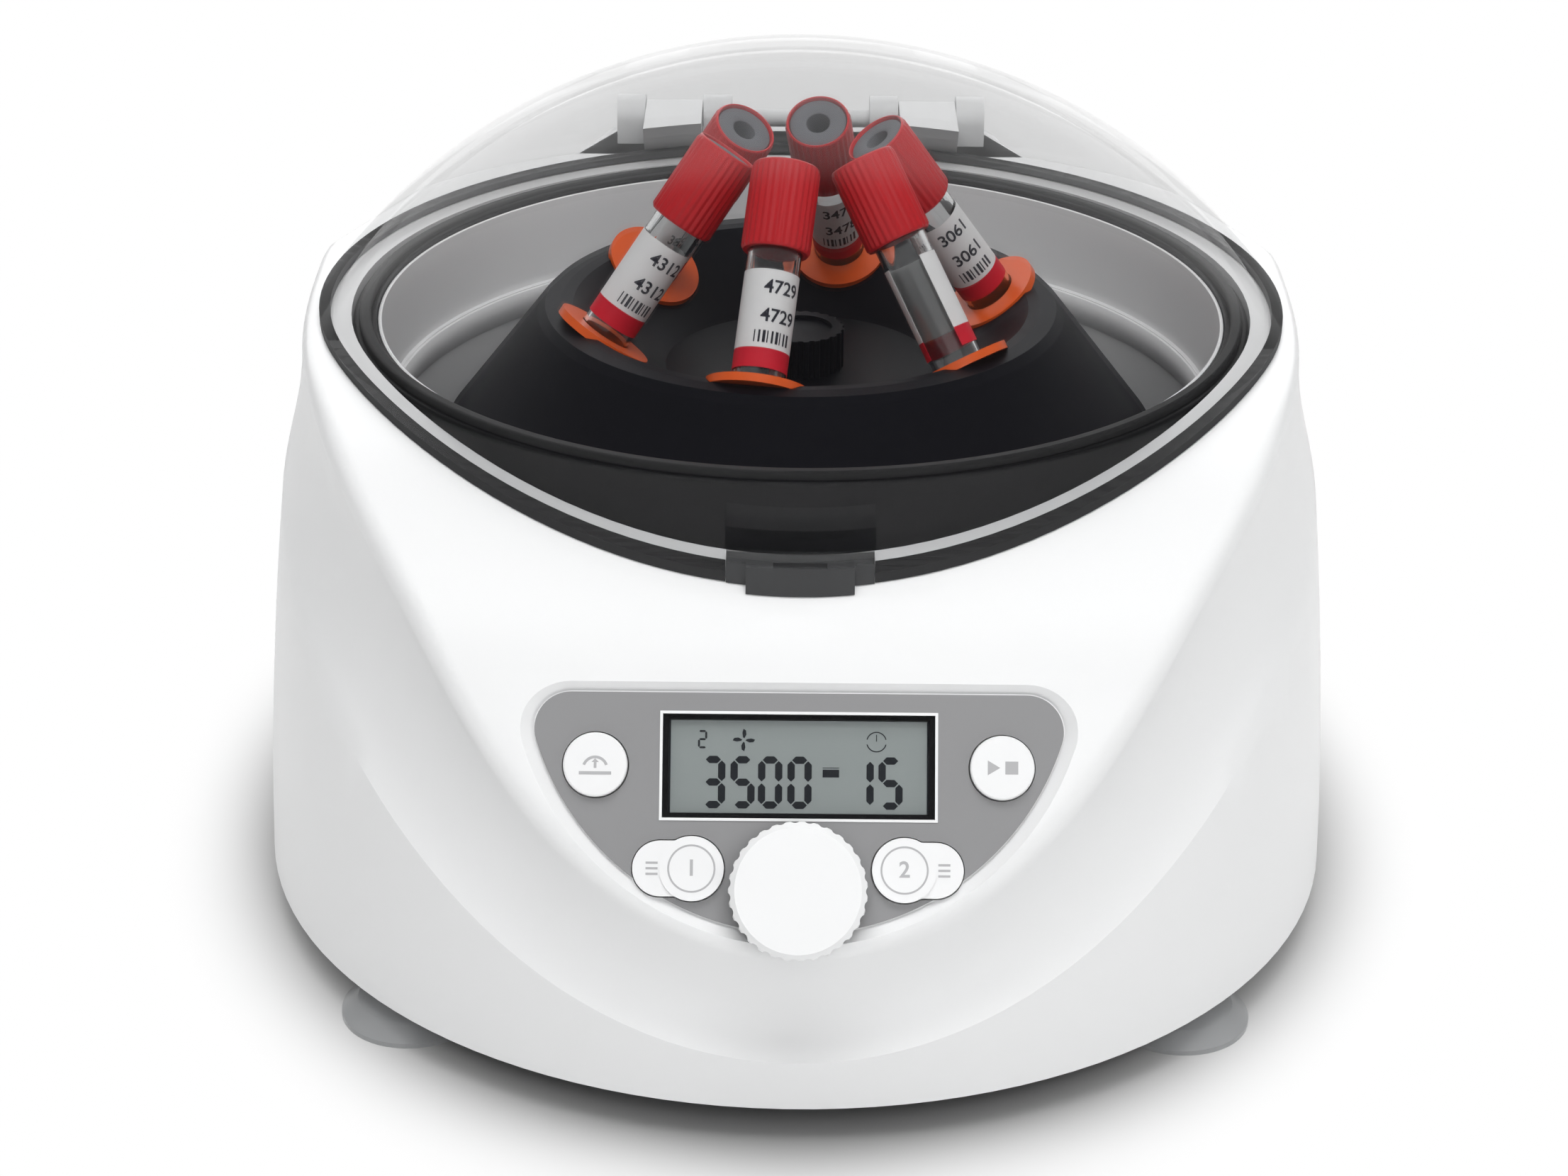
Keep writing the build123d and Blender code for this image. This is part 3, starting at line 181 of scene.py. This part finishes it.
def plastic(name, colour, rough, grain=0.0, grain_scale=900.0, coat=0.0, mottle=0.04):
    """A moulded or painted finish with slight variation in colour and gloss, and a fine grain."""
    made = bpy.data.materials.new(name)
    made.use_nodes = True
    tree, links = made.node_tree.nodes, made.node_tree.links
    shader = tree["Principled BSDF"]
    place = tree.new("ShaderNodeTexCoord")
    patches = tree.new("ShaderNodeTexNoise")
    patches.inputs["Scale"].default_value = 22
    patches.inputs["Detail"].default_value = 4
    tint = tree.new("ShaderNodeValToRGB")
    tint.color_ramp.elements[0].color = (*[c * (1 - mottle) for c in colour], 1)
    tint.color_ramp.elements[1].color = (*[min(c * (1 + mottle), 1) for c in colour], 1)
    gloss = tree.new("ShaderNodeMapRange")
    gloss.inputs["To Min"].default_value = rough * 0.85
    gloss.inputs["To Max"].default_value = min(rough * 1.15, 1)
    links.new(place.outputs["Object"], patches.inputs["Vector"])
    links.new(patches.outputs["Fac"], tint.inputs["Fac"])
    links.new(tint.outputs["Color"], shader.inputs["Base Color"])
    links.new(patches.outputs["Fac"], gloss.inputs["Value"])
    links.new(gloss.outputs["Result"], shader.inputs["Roughness"])
    shader.inputs["Coat Weight"].default_value = coat
    shader.inputs["Coat Roughness"].default_value = 0.12
    if grain:
        fine = tree.new("ShaderNodeTexNoise")
        fine.inputs["Scale"].default_value = grain_scale
        fine.inputs["Detail"].default_value = 2
        relief = tree.new("ShaderNodeBump")
        relief.inputs["Strength"].default_value = grain
        relief.inputs["Distance"].default_value = 0.0002
        links.new(place.outputs["Object"], fine.inputs["Vector"])
        links.new(fine.outputs["Fac"], relief.inputs["Height"])
        links.new(relief.outputs["Normal"], shader.inputs["Normal"])
    return made


def shade_smooth(piece, angle=35.0):
    """Smooth shading with sharp edges kept where faces turn by more than an angle."""
    form = bmesh.new()
    form.from_mesh(piece.data)
    for face in form.faces:
        face.smooth = True
    for edge in form.edges:
        edge.smooth = len(edge.link_faces) == 2 and edge.calc_face_angle(0) < radians(angle)
    form.to_mesh(piece.data)
    form.free()


def finished(name, form, material, body, home=None):
    """Turns a form into a piece of the object, in place and riding on its body."""
    if home:
        bmesh.ops.transform(form, matrix=home, verts=form.verts)
    bmesh.ops.recalc_face_normals(form, faces=form.faces)
    mesh = bpy.data.meshes.new(name)
    form.to_mesh(mesh)
    form.free()
    mesh.materials.append(material)
    piece = bpy.data.objects.new(name, mesh)
    bpy.context.scene.collection.objects.link(piece)
    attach(piece, body)
    return piece


def deck_radius(angle, half, reach, corner):
    """How far a deck with rounded rear corners reaches from the rotor's axis, at an angle from its side."""
    inner = Vector((half - corner, reach - corner))
    toward = Vector((cos(angle), sin(angle)))
    for edge, along in ((half / max(toward.x, 1e-6), 1), (reach / max(toward.y, 1e-6), 0)):
        if (toward * edge)[along] <= inner[along]:
            return edge
    middle = inner.dot(toward)
    return middle + sqrt(middle * middle - inner.length_squared + corner * corner)


white_shell = plastic("white_shell", (0.78, 0.785, 0.79), 0.32, grain=0.03, coat=0.25, mottle=0.01)
shell = bmesh.new()
shell.from_mesh(nodes["upper_housing"].data)
bmesh.ops.remove_doubles(shell, verts=shell.verts, dist=1e-6)
well_wall = 113.6
deck_half, old_reach, old_corner = 125, 146, 48
round_reach, round_corner = 127, 96
deck_depth = 126.5
bump_half, bump_blend = 54, 16
# In millimetres, from the rotor's axis and the top of the black ring.
for v in shell.verts:
    x, y, z = v.co.x * 1000, (v.co.y - axis_y) * 1000, (v.co.z - ring_z) * 1000
    radius = sqrt(x * x + y * y)
    if y > 0 and radius > well_wall and abs(x) > bump_half:
        angle = atan2(y, abs(x))
        old = deck_radius(angle, deck_half, old_reach, old_corner)
        new = deck_radius(angle, deck_half, round_reach, round_corner)
        share = max(0.0, 1 + z / deck_depth) ** 4 * min(1.0, (abs(x) - bump_half) / bump_blend)
        v.co.xy = Vector((v.co.x, v.co.y - axis_y)) * (1 + share * (radius - well_wall) / radius
                                                       * ((new - well_wall) / (old - well_wall) - 1))
        v.co.y += axis_y
rounded_housing = finished("rounded_housing", shell, white_shell, "chassis", None)
shade_smooth(rounded_housing, 30)
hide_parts("upper_housing")

# Base plate, feet and screws: a dark grey moulding that closes the shell, on pale translucent suction
# cups, held by plated screws. The motor's dampers and boot are of black rubber.


def dress(node, material):
    """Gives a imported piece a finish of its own."""
    nodes[node].data.materials.clear()
    nodes[node].data.materials.append(material)


dress("base_plate", plastic("dark_base", (0.03, 0.031, 0.033), 0.55, grain=0.2, grain_scale=500))
black_rubber = plastic("black_rubber", (0.016, 0.016, 0.017), 0.62, grain=0.12, grain_scale=1400)
for node in ("motor_dampers", "shaft_seal"):
    dress(node, black_rubber)
cup_rubber = plastic("cup_rubber", (0.55, 0.56, 0.57), 0.3, grain=0.05)
cup_rubber.node_tree.nodes["Principled BSDF"].inputs["Transmission Weight"].default_value = 0.55
dress("suction_feet", cup_rubber)


def brushed(name, colour, rough, across=(1, 1, 60), strength=0.25):
    """Metal with a fine brushed line along one direction."""
    made = bpy.data.materials.new(name)
    made.use_nodes = True
    tree, links = made.node_tree.nodes, made.node_tree.links
    shader = tree["Principled BSDF"]
    shader.inputs["Base Color"].default_value = (*colour, 1)
    shader.inputs["Metallic"].default_value = 1
    place = tree.new("ShaderNodeTexCoord")
    stretch = tree.new("ShaderNodeMapping")
    stretch.inputs["Scale"].default_value = across
    lines = tree.new("ShaderNodeTexNoise")
    lines.inputs["Scale"].default_value = 40
    lines.inputs["Detail"].default_value = 5
    gloss = tree.new("ShaderNodeMapRange")
    gloss.inputs["To Min"].default_value = rough * 0.7
    gloss.inputs["To Max"].default_value = rough * 1.35
    relief = tree.new("ShaderNodeBump")
    relief.inputs["Strength"].default_value = strength
    relief.inputs["Distance"].default_value = 0.00005
    links.new(place.outputs["Object"], stretch.inputs["Vector"])
    links.new(stretch.outputs["Vector"], lines.inputs["Vector"])
    links.new(lines.outputs["Fac"], gloss.inputs["Value"])
    links.new(gloss.outputs["Result"], shader.inputs["Roughness"])
    links.new(lines.outputs["Fac"], relief.inputs["Height"])
    links.new(relief.outputs["Normal"], shader.inputs["Normal"])
    return made


plated_steel = brushed("plated_steel", (0.62, 0.62, 0.63), 0.3)
for node in ("base_screws", "latch_bracket", "motor_plate", "board_screws", "motor_shaft",
             "encoder_shaft", "encoder_plunger", "inlet_pins"):
    dress(node, plated_steel)

# Chamber: a stainless bowl drawn in one piece, with the black collar and its soft gasket above it. The
# bright wall inside the collar and the rolled bead where the bowl begins are made here. The photograph
# shows the steel pale and even, so it is hardly metallic.
drawn_steel = brushed("drawn_steel", (0.92, 0.925, 0.93), 0.42, across=(1, 1, 25), strength=0.12)
drawn_steel.node_tree.nodes["Principled BSDF"].inputs["Metallic"].default_value = 0.05
dress("rotor_chamber", drawn_steel)
black_plastic = plastic("black_plastic", (0.006, 0.006, 0.007), 0.42, grain=0.05)
black_plastic.node_tree.nodes["Principled BSDF"].inputs["Specular IOR Level"].default_value = 0.1
for node in ("chamber_collar", "lcd_shroud", "rocker", "tact_switches", "encoder_body", "latch_hook",
             "switch_body", "mains_inlet"):
    dress(node, black_plastic)
dress("chamber_gasket", black_rubber)


def add_turned(form, points, home, ribs=0, depth=0.0, steps=96):
    """A closed profile of radius and height spun about the z axis, its widest part fluted if asked."""
    corners = [form.verts.new((radius, 0, height)) for radius, height in points]
    edges = [form.edges.new((corners[i - 1], corners[i])) for i in range(len(corners))]
    before = set(form.verts) - set(corners)
    bmesh.ops.spin(form, geom=edges, cent=(0, 0, 0), axis=(0, 0, 1), angle=2 * pi, steps=steps, use_merge=True)
    turned = [v for v in form.verts if v not in before]
    widest = max(radius for radius, height in points) - 0.01
    for v in turned:
        step = round(v.co.xy.angle_signed(Vector((1, 0))) / (2 * pi) * steps)
        if ribs and v.co.xy.length > widest and step % (steps // ribs) > 1:
            v.co.xy *= (widest - depth) / widest
    bmesh.ops.transform(form, matrix=home, verts=turned)


rotor_home = Matrix.Translation((0, axis_y, ring_z)) @ Matrix.Scale(0.001, 4)
rim_profile = [(105.3, -20.9), (105.3, 1.6), (104.9, 1.8), (104.5, 1.6), (104.4, 1.0), (104.4, -19.4),
               (103.9, -20.6), (102.5, -21.3), (101.8, -22.6), (101.7, -24.6), (102.0, -26.8), (102.8, -28.5),
               (102.97, -28.5), (102.97, -20.9)]
rim = bmesh.new()
add_turned(rim, rim_profile, rotor_home, steps=180)
chamber_rim = finished("chamber_rim", rim, drawn_steel, "chassis", None)
shade_smooth(chamber_rim)

# Motor, latch motor and boards, all hidden inside the housing: enamelled motor cases, green circuit
# boards with dark parts, and the nylon standoffs that hold the boards off the housing.
motor_paint = plastic("motor_paint", (0.05, 0.052, 0.06), 0.4, coat=0.3)
dress("motor", motor_paint)
dress("latch_motor", motor_paint)
solder_mask = plastic("solder_mask", (0.01, 0.1, 0.03), 0.35, coat=0.4)
dress("keypad_board", solder_mask)
dress("main_board", solder_mask)
dress("board_parts", plastic("board_part", (0.04, 0.04, 0.045), 0.45))
dress("board_standoffs", plastic("nylon", (0.7, 0.7, 0.64), 0.5))

# Rotor: a blue-black moulding with six slanted wells, held on the motor's shaft by a nut of the same
# finish. Both are dull, so that little of the light shows on them.
rotor_black = plastic("rotor_black", (0.003, 0.003, 0.006), 0.5)
rotor_black.node_tree.nodes["Principled BSDF"].inputs["Specular IOR Level"].default_value = 0.2
dress("rotor", rotor_black)
dress("rotor_nut", rotor_black)

# Sleeves and tubes: orange moulded sleeves stand in the rotor's wells, and each holds a tube of clear
# glass. Every tube has a frame in millimetres, with z up its own axis from the level of the rim.
dress("tube_sleeves", plastic("sleeve_orange", (0.85, 0.12, 0.015), 0.35, coat=0.2))


def clear(name, colour, rough=0.02, ior=1.49, solid=1.0):
    """Clear glass or plastic, as solid as the light that it bends."""
    made = bpy.data.materials.new(name)
    made.use_nodes = True
    shader = made.node_tree.nodes["Principled BSDF"]
    shader.inputs["Base Color"].default_value = (*colour, 1)
    shader.inputs["Roughness"].default_value = rough
    shader.inputs["IOR"].default_value = ior
    shader.inputs["Transmission Weight"].default_value = 1
    shader.inputs["Alpha"].default_value = solid
    shader.inputs["Coat Weight"].default_value = 1.0 if solid < 1 else 0.0
    shader.inputs["Coat IOR"].default_value = 1.7
    shader.inputs["Coat Roughness"].default_value = rough
    return made


dress("sample_tubes", clear("tube_glass", (0.98, 0.99, 0.99)))

tube_circle = 0.05075
tilt = radians(36)
tube_homes = []
for number in range(6):
    around = radians(18.3 + 60 * number)
    lean = Vector((-sin(tilt) * cos(around), -sin(tilt) * sin(around), cos(tilt)))
    side = Vector((-sin(around), cos(around), 0))
    home = Matrix((side, lean.cross(side), lean)).transposed().to_4x4()
    home.translation = (tube_circle * cos(around), axis_y + tube_circle * sin(around), ring_z)
    tube_homes.append(home @ Matrix.Scale(0.001, 4))

# Caps and stoppers: a fluted red cap with a thin wall, and the grey rubber stopper that fills it, with the
# dimple for the needle. They replace the plainer solids, whose roofs are thicker.
cap_profile = [(6.75, 32.7), (7.8, 32.7), (8.0, 33.0), (8.35, 33.5), (8.35, 52.9), (8.05, 53.5),
               (8.0, 53.9), (7.7, 54.2), (7.45, 54.1), (7.32, 53.8), (7.32, 48.0), (6.75, 48.0)]
stopper_profile = [(0.02, 39.0), (5.4, 39.0), (5.4, 48.1), (7.25, 48.1), (7.25, 53.0), (7.0, 53.4),
                   (6.5, 53.6), (3.5, 53.6), (3.0, 53.3), (2.8, 52.6), (2.6, 43.6), (0.02, 43.4)]
caps, stoppers = bmesh.new(), bmesh.new()
for home in tube_homes:
    add_turned(caps, cap_profile, home, ribs=30, depth=0.4, steps=120)
    add_turned(stoppers, stopper_profile, home, steps=48)
cap_red = plastic("cap_red", (0.6, 0.011, 0.018), 0.38, grain=0.05, coat=0.15)
cap_shells = finished("cap_shells", caps, cap_red, "rotor", None)
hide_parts("tube_caps")
stopper_grey = plastic("stopper_grey", (0.15, 0.155, 0.17), 0.62, grain=0.1)
stopper_heads = finished("stopper_heads", stoppers, stopper_grey, "rotor", None)
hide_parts("tube_stoppers")
for piece in (cap_shells, stopper_heads):
    shade_smooth(piece)

# Lid: a thin clear dome, smoky where it is seen edge-on, with a black seal, white hinge arms and a white
# pin. The block at its front is clear, and smoky below the lid's edge, where the finger tab stands out.
dress("hinge_arms", white_shell)
dress("hinge_pin", white_shell)
dress("lid_seal", black_rubber)
facing_tint, edge_tint = (0.09, 0.093, 0.1), (0.01, 0.0105, 0.011)
clear_lid = clear("clear_lid", facing_tint, ior=1.01, solid=0.16)
lid_nodes, lid_links = clear_lid.node_tree.nodes, clear_lid.node_tree.links
lid_edge = lid_nodes.new("ShaderNodeLayerWeight")
lid_edge.inputs["Blend"].default_value = 0.35
lid_tint = lid_nodes.new("ShaderNodeMix")
lid_tint.data_type = "RGBA"
# A Mix node's colours are its inputs 6 and 7 and its output 2.
lid_tint.inputs[6].default_value = (*facing_tint, 1)
lid_tint.inputs[7].default_value = (*edge_tint, 1)
lid_links.new(lid_edge.outputs["Facing"], lid_tint.inputs[0])
lid_links.new(lid_tint.outputs[2], lid_nodes["Principled BSDF"].inputs["Base Color"])
dress("lid_dome", clear_lid)
smoky_below, clear_above = ring_z - 0.0140, ring_z - 0.0130
smoky_tab = plastic("smoky_tab", (0.035, 0.036, 0.038), 0.4, mottle=0.1)
tab_nodes, tab_links = smoky_tab.node_tree.nodes, smoky_tab.node_tree.links
tab_place = tab_nodes.new("ShaderNodeTexCoord")
tab_split = tab_nodes.new("ShaderNodeSeparateXYZ")
tab_edge = tab_nodes.new("ShaderNodeMapRange")
tab_edge.inputs["From Min"].default_value = smoky_below
tab_edge.inputs["From Max"].default_value = clear_above
tab_edge.inputs["To Min"].default_value = 0.85
tab_edge.inputs["To Max"].default_value = 0.08
tab_links.new(tab_place.outputs["Object"], tab_split.inputs[0])
tab_links.new(tab_split.outputs["Z"], tab_edge.inputs["Value"])
tab_links.new(tab_edge.outputs["Result"], tab_nodes["Principled BSDF"].inputs["Alpha"])
dress("lid_striker", smoky_tab)

# Panel: a grey sheet on the bib with the white frame of the display, the buttons, the keys and the knob.
# The display is a pale green-grey module in a dark surround, behind a clear window.
dress("panel_overlay", plastic("panel_grey", (0.245, 0.245, 0.25), 0.4))
for node in ("lcd_bezel", "lid_button", "start_button", "preset_key_1", "preset_key_2", "knob"):
    dress(node, white_shell)
dress("lcd_window", clear("display_glass", (1, 1, 1), ior=1.01, solid=0.15))
dress("lcd_module", plastic("display", (0.23, 0.258, 0.256), 0.3))

# Printed marks of the panel: everything on it is drawn in the panel's own plane, in millimetres,
# x to the right, y up the slope and z out of the body, and then set in its place as thin ink.
panel_y, panel_z = axis_y - 0.141397, ring_z - 0.041214
panel_slope = radians(58)
panel_turn = Matrix(((1, 0, 0), (0, cos(panel_slope), -sin(panel_slope)), (0, sin(panel_slope), cos(panel_slope))))
panel_home = Matrix.Translation((0, panel_y, panel_z)) @ panel_turn.to_4x4()
panel_home = panel_home @ Matrix.Scale(0.001, 4)


def add_outline(form, points, height, thick):
    """A thin printed shape with the given outline."""
    corners = [form.verts.new((x, y, height)) for x, y in points]
    face = form.faces.new(corners)
    lifted = bmesh.ops.extrude_face_region(form, geom=[face])["geom"]
    bmesh.ops.translate(form, verts=[v for v in lifted if isinstance(v, bmesh.types.BMVert)], vec=(0, 0, thick))


def add_bar(form, left, low, right, high, height, thick):
    """A thin printed bar or square."""
    add_outline(form, [(left, low), (right, low), (right, high), (left, high)], height, thick)


def add_ring(form, centre, inner, outer, height, thick, start=0.0, turn=2 * pi, steps=64):
    """A thin printed ring, or part of one."""
    x, y = centre
    corners = [form.verts.new((x + r, y, z)) for r, z in ((inner, height), (outer, height),
                                                          (outer, height + thick), (inner, height + thick))]
    edges = [form.edges.new((corners[i], corners[(i + 1) % 4])) for i in range(4)]
    ends = [form.faces.new(corners)] if turn < 2 * pi - 0.01 else []
    bmesh.ops.rotate(form, verts=corners, cent=(x, y, 0), matrix=Matrix.Rotation(start, 3, "Z"))
    bmesh.ops.spin(form, geom=ends or edges, cent=(x, y, 0), axis=(0, 0, 1), angle=turn, steps=steps,
                   use_merge=not ends)


def add_words(form, words, size, centre, height, thick):
    """Plain digits as thin printed shapes."""
    letters = bpy.data.curves.new("digits", "FONT")
    letters.body, letters.size = words, size
    letters.align_x, letters.align_y = "CENTER", "CENTER"
    letters.extrude = thick / 2
    letters.offset = size * 0.018
    carrier = bpy.data.objects.new("digits", letters)
    flat = bpy.data.meshes.new_from_object(carrier)
    flat.transform(Matrix.Translation((centre[0], centre[1], height + thick / 2)))
    form.from_mesh(flat)
    bpy.data.objects.remove(carrier)
    bpy.data.meshes.remove(flat)


# Display marks: dark liquid-crystal digits, a fan, a clock face and bars on the glass of the module, and a
# line down each side that is painted shade from the dark surround. The digits have seven segments, lettered
# from a at the top round to g in the middle.
lcd_face = -3.6
digit_row = -9.7 - 3.4
ink = 0.04
segments = {"0": "abcdef", "1": "bc", "2": "abged", "3": "abgcd", "5": "afgcd"}


def add_digit(form, digit, centre, width, height, stroke):
    """A seven-segment digit, each segment with pointed ends."""
    x, y = centre
    across, upright, gap = width / 2 - stroke / 2, height / 2 - stroke / 2, stroke * 0.12
    rows = {"a": upright, "g": 0, "d": -upright}
    sides = {"b": (across, 1), "c": (across, -1), "f": (-across, 1), "e": (-across, -1)}
    for segment in segments[digit]:
        if segment in rows:
            mid, end, half = y + rows[segment], across - gap, stroke / 2
            add_outline(form, [(x - end, mid), (x - end + half, mid - half), (x + end - half, mid - half),
                               (x + end, mid), (x + end - half, mid + half), (x - end + half, mid + half)],
                        lcd_face, ink)
        else:
            side, up = sides[segment]
            low, high = sorted((up * gap, up * (upright - gap)))
            half = stroke / 2
            add_outline(form, [(x + side, y + low), (x + side + half, y + low + half),
                               (x + side + half, y + high - half), (x + side, y + high),
                               (x + side - half, y + high - half), (x + side - half, y + low + half)],
                        lcd_face, ink)


marks = bmesh.new()
for digit, x in zip("350015", (-18.6, -12.2, -6.2, 0.2, 13.7, 20.0)):
    add_digit(marks, digit, (x, digit_row), 5.3, 11.4, 1.6)
add_digit(marks, "2", (-21.0, digit_row + 9.3), 2.0, 4.0, 0.45)
add_bar(marks, 5.2, digit_row + 1.2, 8.8, digit_row + 2.9, lcd_face, ink)
add_bar(marks, 5.2, digit_row + 3.2, 8.8, digit_row + 3.35, lcd_face, ink)
fan_x, fan_y = -12.0, digit_row + 9.2
blade_corners = ((0.35, -0.1), (1.2, -0.55), (2.1, -0.45), (2.45, 0.1), (1.6, 0.35), (0.6, 0.2))
for quarter in range(4):
    turn = Matrix.Rotation(quarter * pi / 2, 2)
    blade = [turn @ Vector(p) for p in blade_corners]
    add_outline(marks, [(fan_x + p.x, fan_y + p.y) for p in blade], lcd_face, ink)
clock_gap = 0.25
for start in (clock_gap, clock_gap + pi):
    add_ring(marks, (16.9, digit_row + 9.0), 2.0, 2.25, lcd_face, ink,
             start=start, turn=pi - 2 * clock_gap, steps=24)
add_bar(marks, 16.8, digit_row + 9.1, 17.0, digit_row + 10.6, lcd_face, ink)
# A dark line down each side of the glass, in the digits' colour: painted shade where the surround's wall shadows
# the display.
for x in (-28.2, 28.2):
    add_bar(marks, x - 0.3, -20.3, x + 0.3, 0.8, lcd_face, ink)
crystal_ink_and_painted_shade = plastic("crystal_ink_and_painted_shade", (0.004, 0.006, 0.01), 0.5)
finished("display_marks", marks, crystal_ink_and_painted_shade, "chassis", panel_home)

# Button marks: pale grey ink on the white caps, a lid that lifts on the left one and a triangle
# with a square, for start and stop, on the right one.
pale_ink = plastic("pale_ink", (0.42, 0.42, 0.43), 0.5)
button_face = 0.4
lid_mark = bmesh.new()
add_ring(lid_mark, (-44.1, -10.7), 2.3, 2.9, button_face, ink, start=radians(20), turn=radians(140), steps=24)
add_bar(lid_mark, -47.6, -11.9, -40.6, -11.2, button_face, ink)
add_outline(lid_mark, [(-44.4, -10.5), (-43.8, -10.5), (-43.8, -9.2), (-43.3, -9.2), (-44.1, -8.4), (-44.9, -9.2),
                       (-44.4, -9.2)], button_face, ink)
finished("lid_button_mark", lid_mark, pale_ink, "lid_button", panel_home)

start_mark = bmesh.new()
add_outline(start_mark, [(40.9, -11.3), (43.6, -9.7), (40.9, -8.1)], button_face, ink)
add_bar(start_mark, 44.7, -11.1, 47.5, -8.3, button_face, ink)
finished("start_button_mark", start_mark, pale_ink, "start_button", panel_home)

# Preset key marks: a ring and a digit on each disc, three short bars on its pill, in the ink of the
# buttons. The pills lie a little deeper than the discs.
key_row, disc_place, pill_place, pill_depth = -32, 23, 31.6, 0.5
for side, digit in ((-1, "1"), (1, "2")):
    key_mark = bmesh.new()
    add_ring(key_mark, (side * disc_place, key_row), 4.8, 5.2, button_face, ink)
    add_words(key_mark, digit, 4.9, (side * disc_place, key_row), button_face, ink)
    for row in (-1.2, 0.0, 1.2):
        x, y = side * pill_place, key_row + row
        add_bar(key_mark, x - 1.3, y - 0.25, x + 1.3, y + 0.25, button_face - pill_depth, ink)
    finished("preset_mark_" + digit, key_mark, pale_ink, "preset_key_" + digit, panel_home)

# Tube labels: a sheet of white paper stuck round most of each tube, with a red band at the foot and black
# print: a serial number, twice, over a row of bars. Print is cut in strips so that it bends with the paper.
label_low, label_high, label_inner, label_wrap = 3, 27, 6.54, 280
paper_thick, print_radius, bend_radius, print_thick = 0.1, 6.66, 6.6, 0.02
paper_white, band_red, band_share = (0.8, 0.8, 0.8), (0.62, 0.01, 0.03), 0.2
strip = 0.5
label_paper = plastic("label_paper", paper_white, 0.6)
paper_nodes, paper_links = label_paper.node_tree.nodes, label_paper.node_tree.links
paper_map = paper_nodes.new("ShaderNodeUVMap")
paper_split = paper_nodes.new("ShaderNodeSeparateXYZ")
band_edge = paper_nodes.new("ShaderNodeMath")
band_edge.operation = "LESS_THAN"
band_edge.inputs[1].default_value = band_share
band_mix = paper_nodes.new("ShaderNodeMix")
band_mix.data_type = "RGBA"
band_mix.inputs[6].default_value = (*paper_white, 1)
band_mix.inputs[7].default_value = (*band_red, 1)
paper_links.new(paper_map.outputs["UV"], paper_split.inputs[0])
paper_links.new(paper_split.outputs["Y"], band_edge.inputs[0])
paper_links.new(band_edge.outputs[0], band_mix.inputs[0])
paper_links.new(band_mix.outputs[2], paper_nodes["Principled BSDF"].inputs["Base Color"])
label_ink = plastic("label_ink", (0.02, 0.02, 0.03), 0.6)

# Each label is turned to the side that the photograph shows of it.
label_turns = (-92, 200, 140, 86, 28, 118)
labels, ink_marks = bmesh.new(), bmesh.new()


def add_form(whole, part, home):
    """Adds one form to another, set in its place."""
    bmesh.ops.transform(part, matrix=home, verts=part.verts)
    held = bpy.data.meshes.new("held")
    part.to_mesh(held)
    part.free()
    whole.from_mesh(held)
    bpy.data.meshes.remove(held)


for number, home in enumerate(tube_homes):
    faced = home @ Matrix.Rotation(radians(label_turns[number]), 4, "Z")
    label = bmesh.new()
    low, high = label.verts.new((0, -label_inner, label_low)), label.verts.new((0, -label_inner, label_high))
    edge = label.edges.new((low, high))
    turn = Matrix.Rotation(radians(-label_wrap / 2), 3, "Z")
    bmesh.ops.rotate(label, verts=[low, high], cent=(0, 0, 0), matrix=turn)
    bmesh.ops.spin(label, geom=[edge], cent=(0, 0, 0), axis=(0, 0, 1), angle=radians(label_wrap), steps=56)
    bmesh.ops.recalc_face_normals(label, faces=label.faces)
    bmesh.ops.solidify(label, geom=label.faces[:], thickness=-paper_thick)
    sheet_map = label.loops.layers.uv.new("UVMap")
    for face in label.faces:
        for loop in face.loops:
            x, y, z = loop.vert.co
            loop[sheet_map].uv = (0.5 + x / 14, (z - label_low) / (label_high - label_low))
    add_form(labels, label, faced)

    figures = bmesh.new()
    serial = str(3061 + 417 * number)
    for row in (22.6, 15.6):
        add_words(figures, serial, 4.6, (1.2, row), 0, print_thick)
    for line in range(9):
        x = -4.4 + line * 1.05
        add_bar(figures, x, 9, x + 0.3 + 0.2 * (line % 3), 12, 0, print_thick)
    for cut in range(-11, 15):
        bmesh.ops.bisect_plane(figures, geom=figures.verts[:] + figures.edges[:] + figures.faces[:],
                               plane_co=(cut * strip, 0, 0), plane_no=(1, 0, 0))
    for vert in figures.verts:
        x, y, z = vert.co
        out, turned = print_radius + z, x / bend_radius
        vert.co = (out * sin(turned), -out * cos(turned), y)
    add_form(ink_marks, figures, faced)
label_sheets = finished("label_sheets", labels, label_paper, "rotor", None)
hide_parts("tube_labels")
finished("label_print", ink_marks, label_ink, "rotor", None)
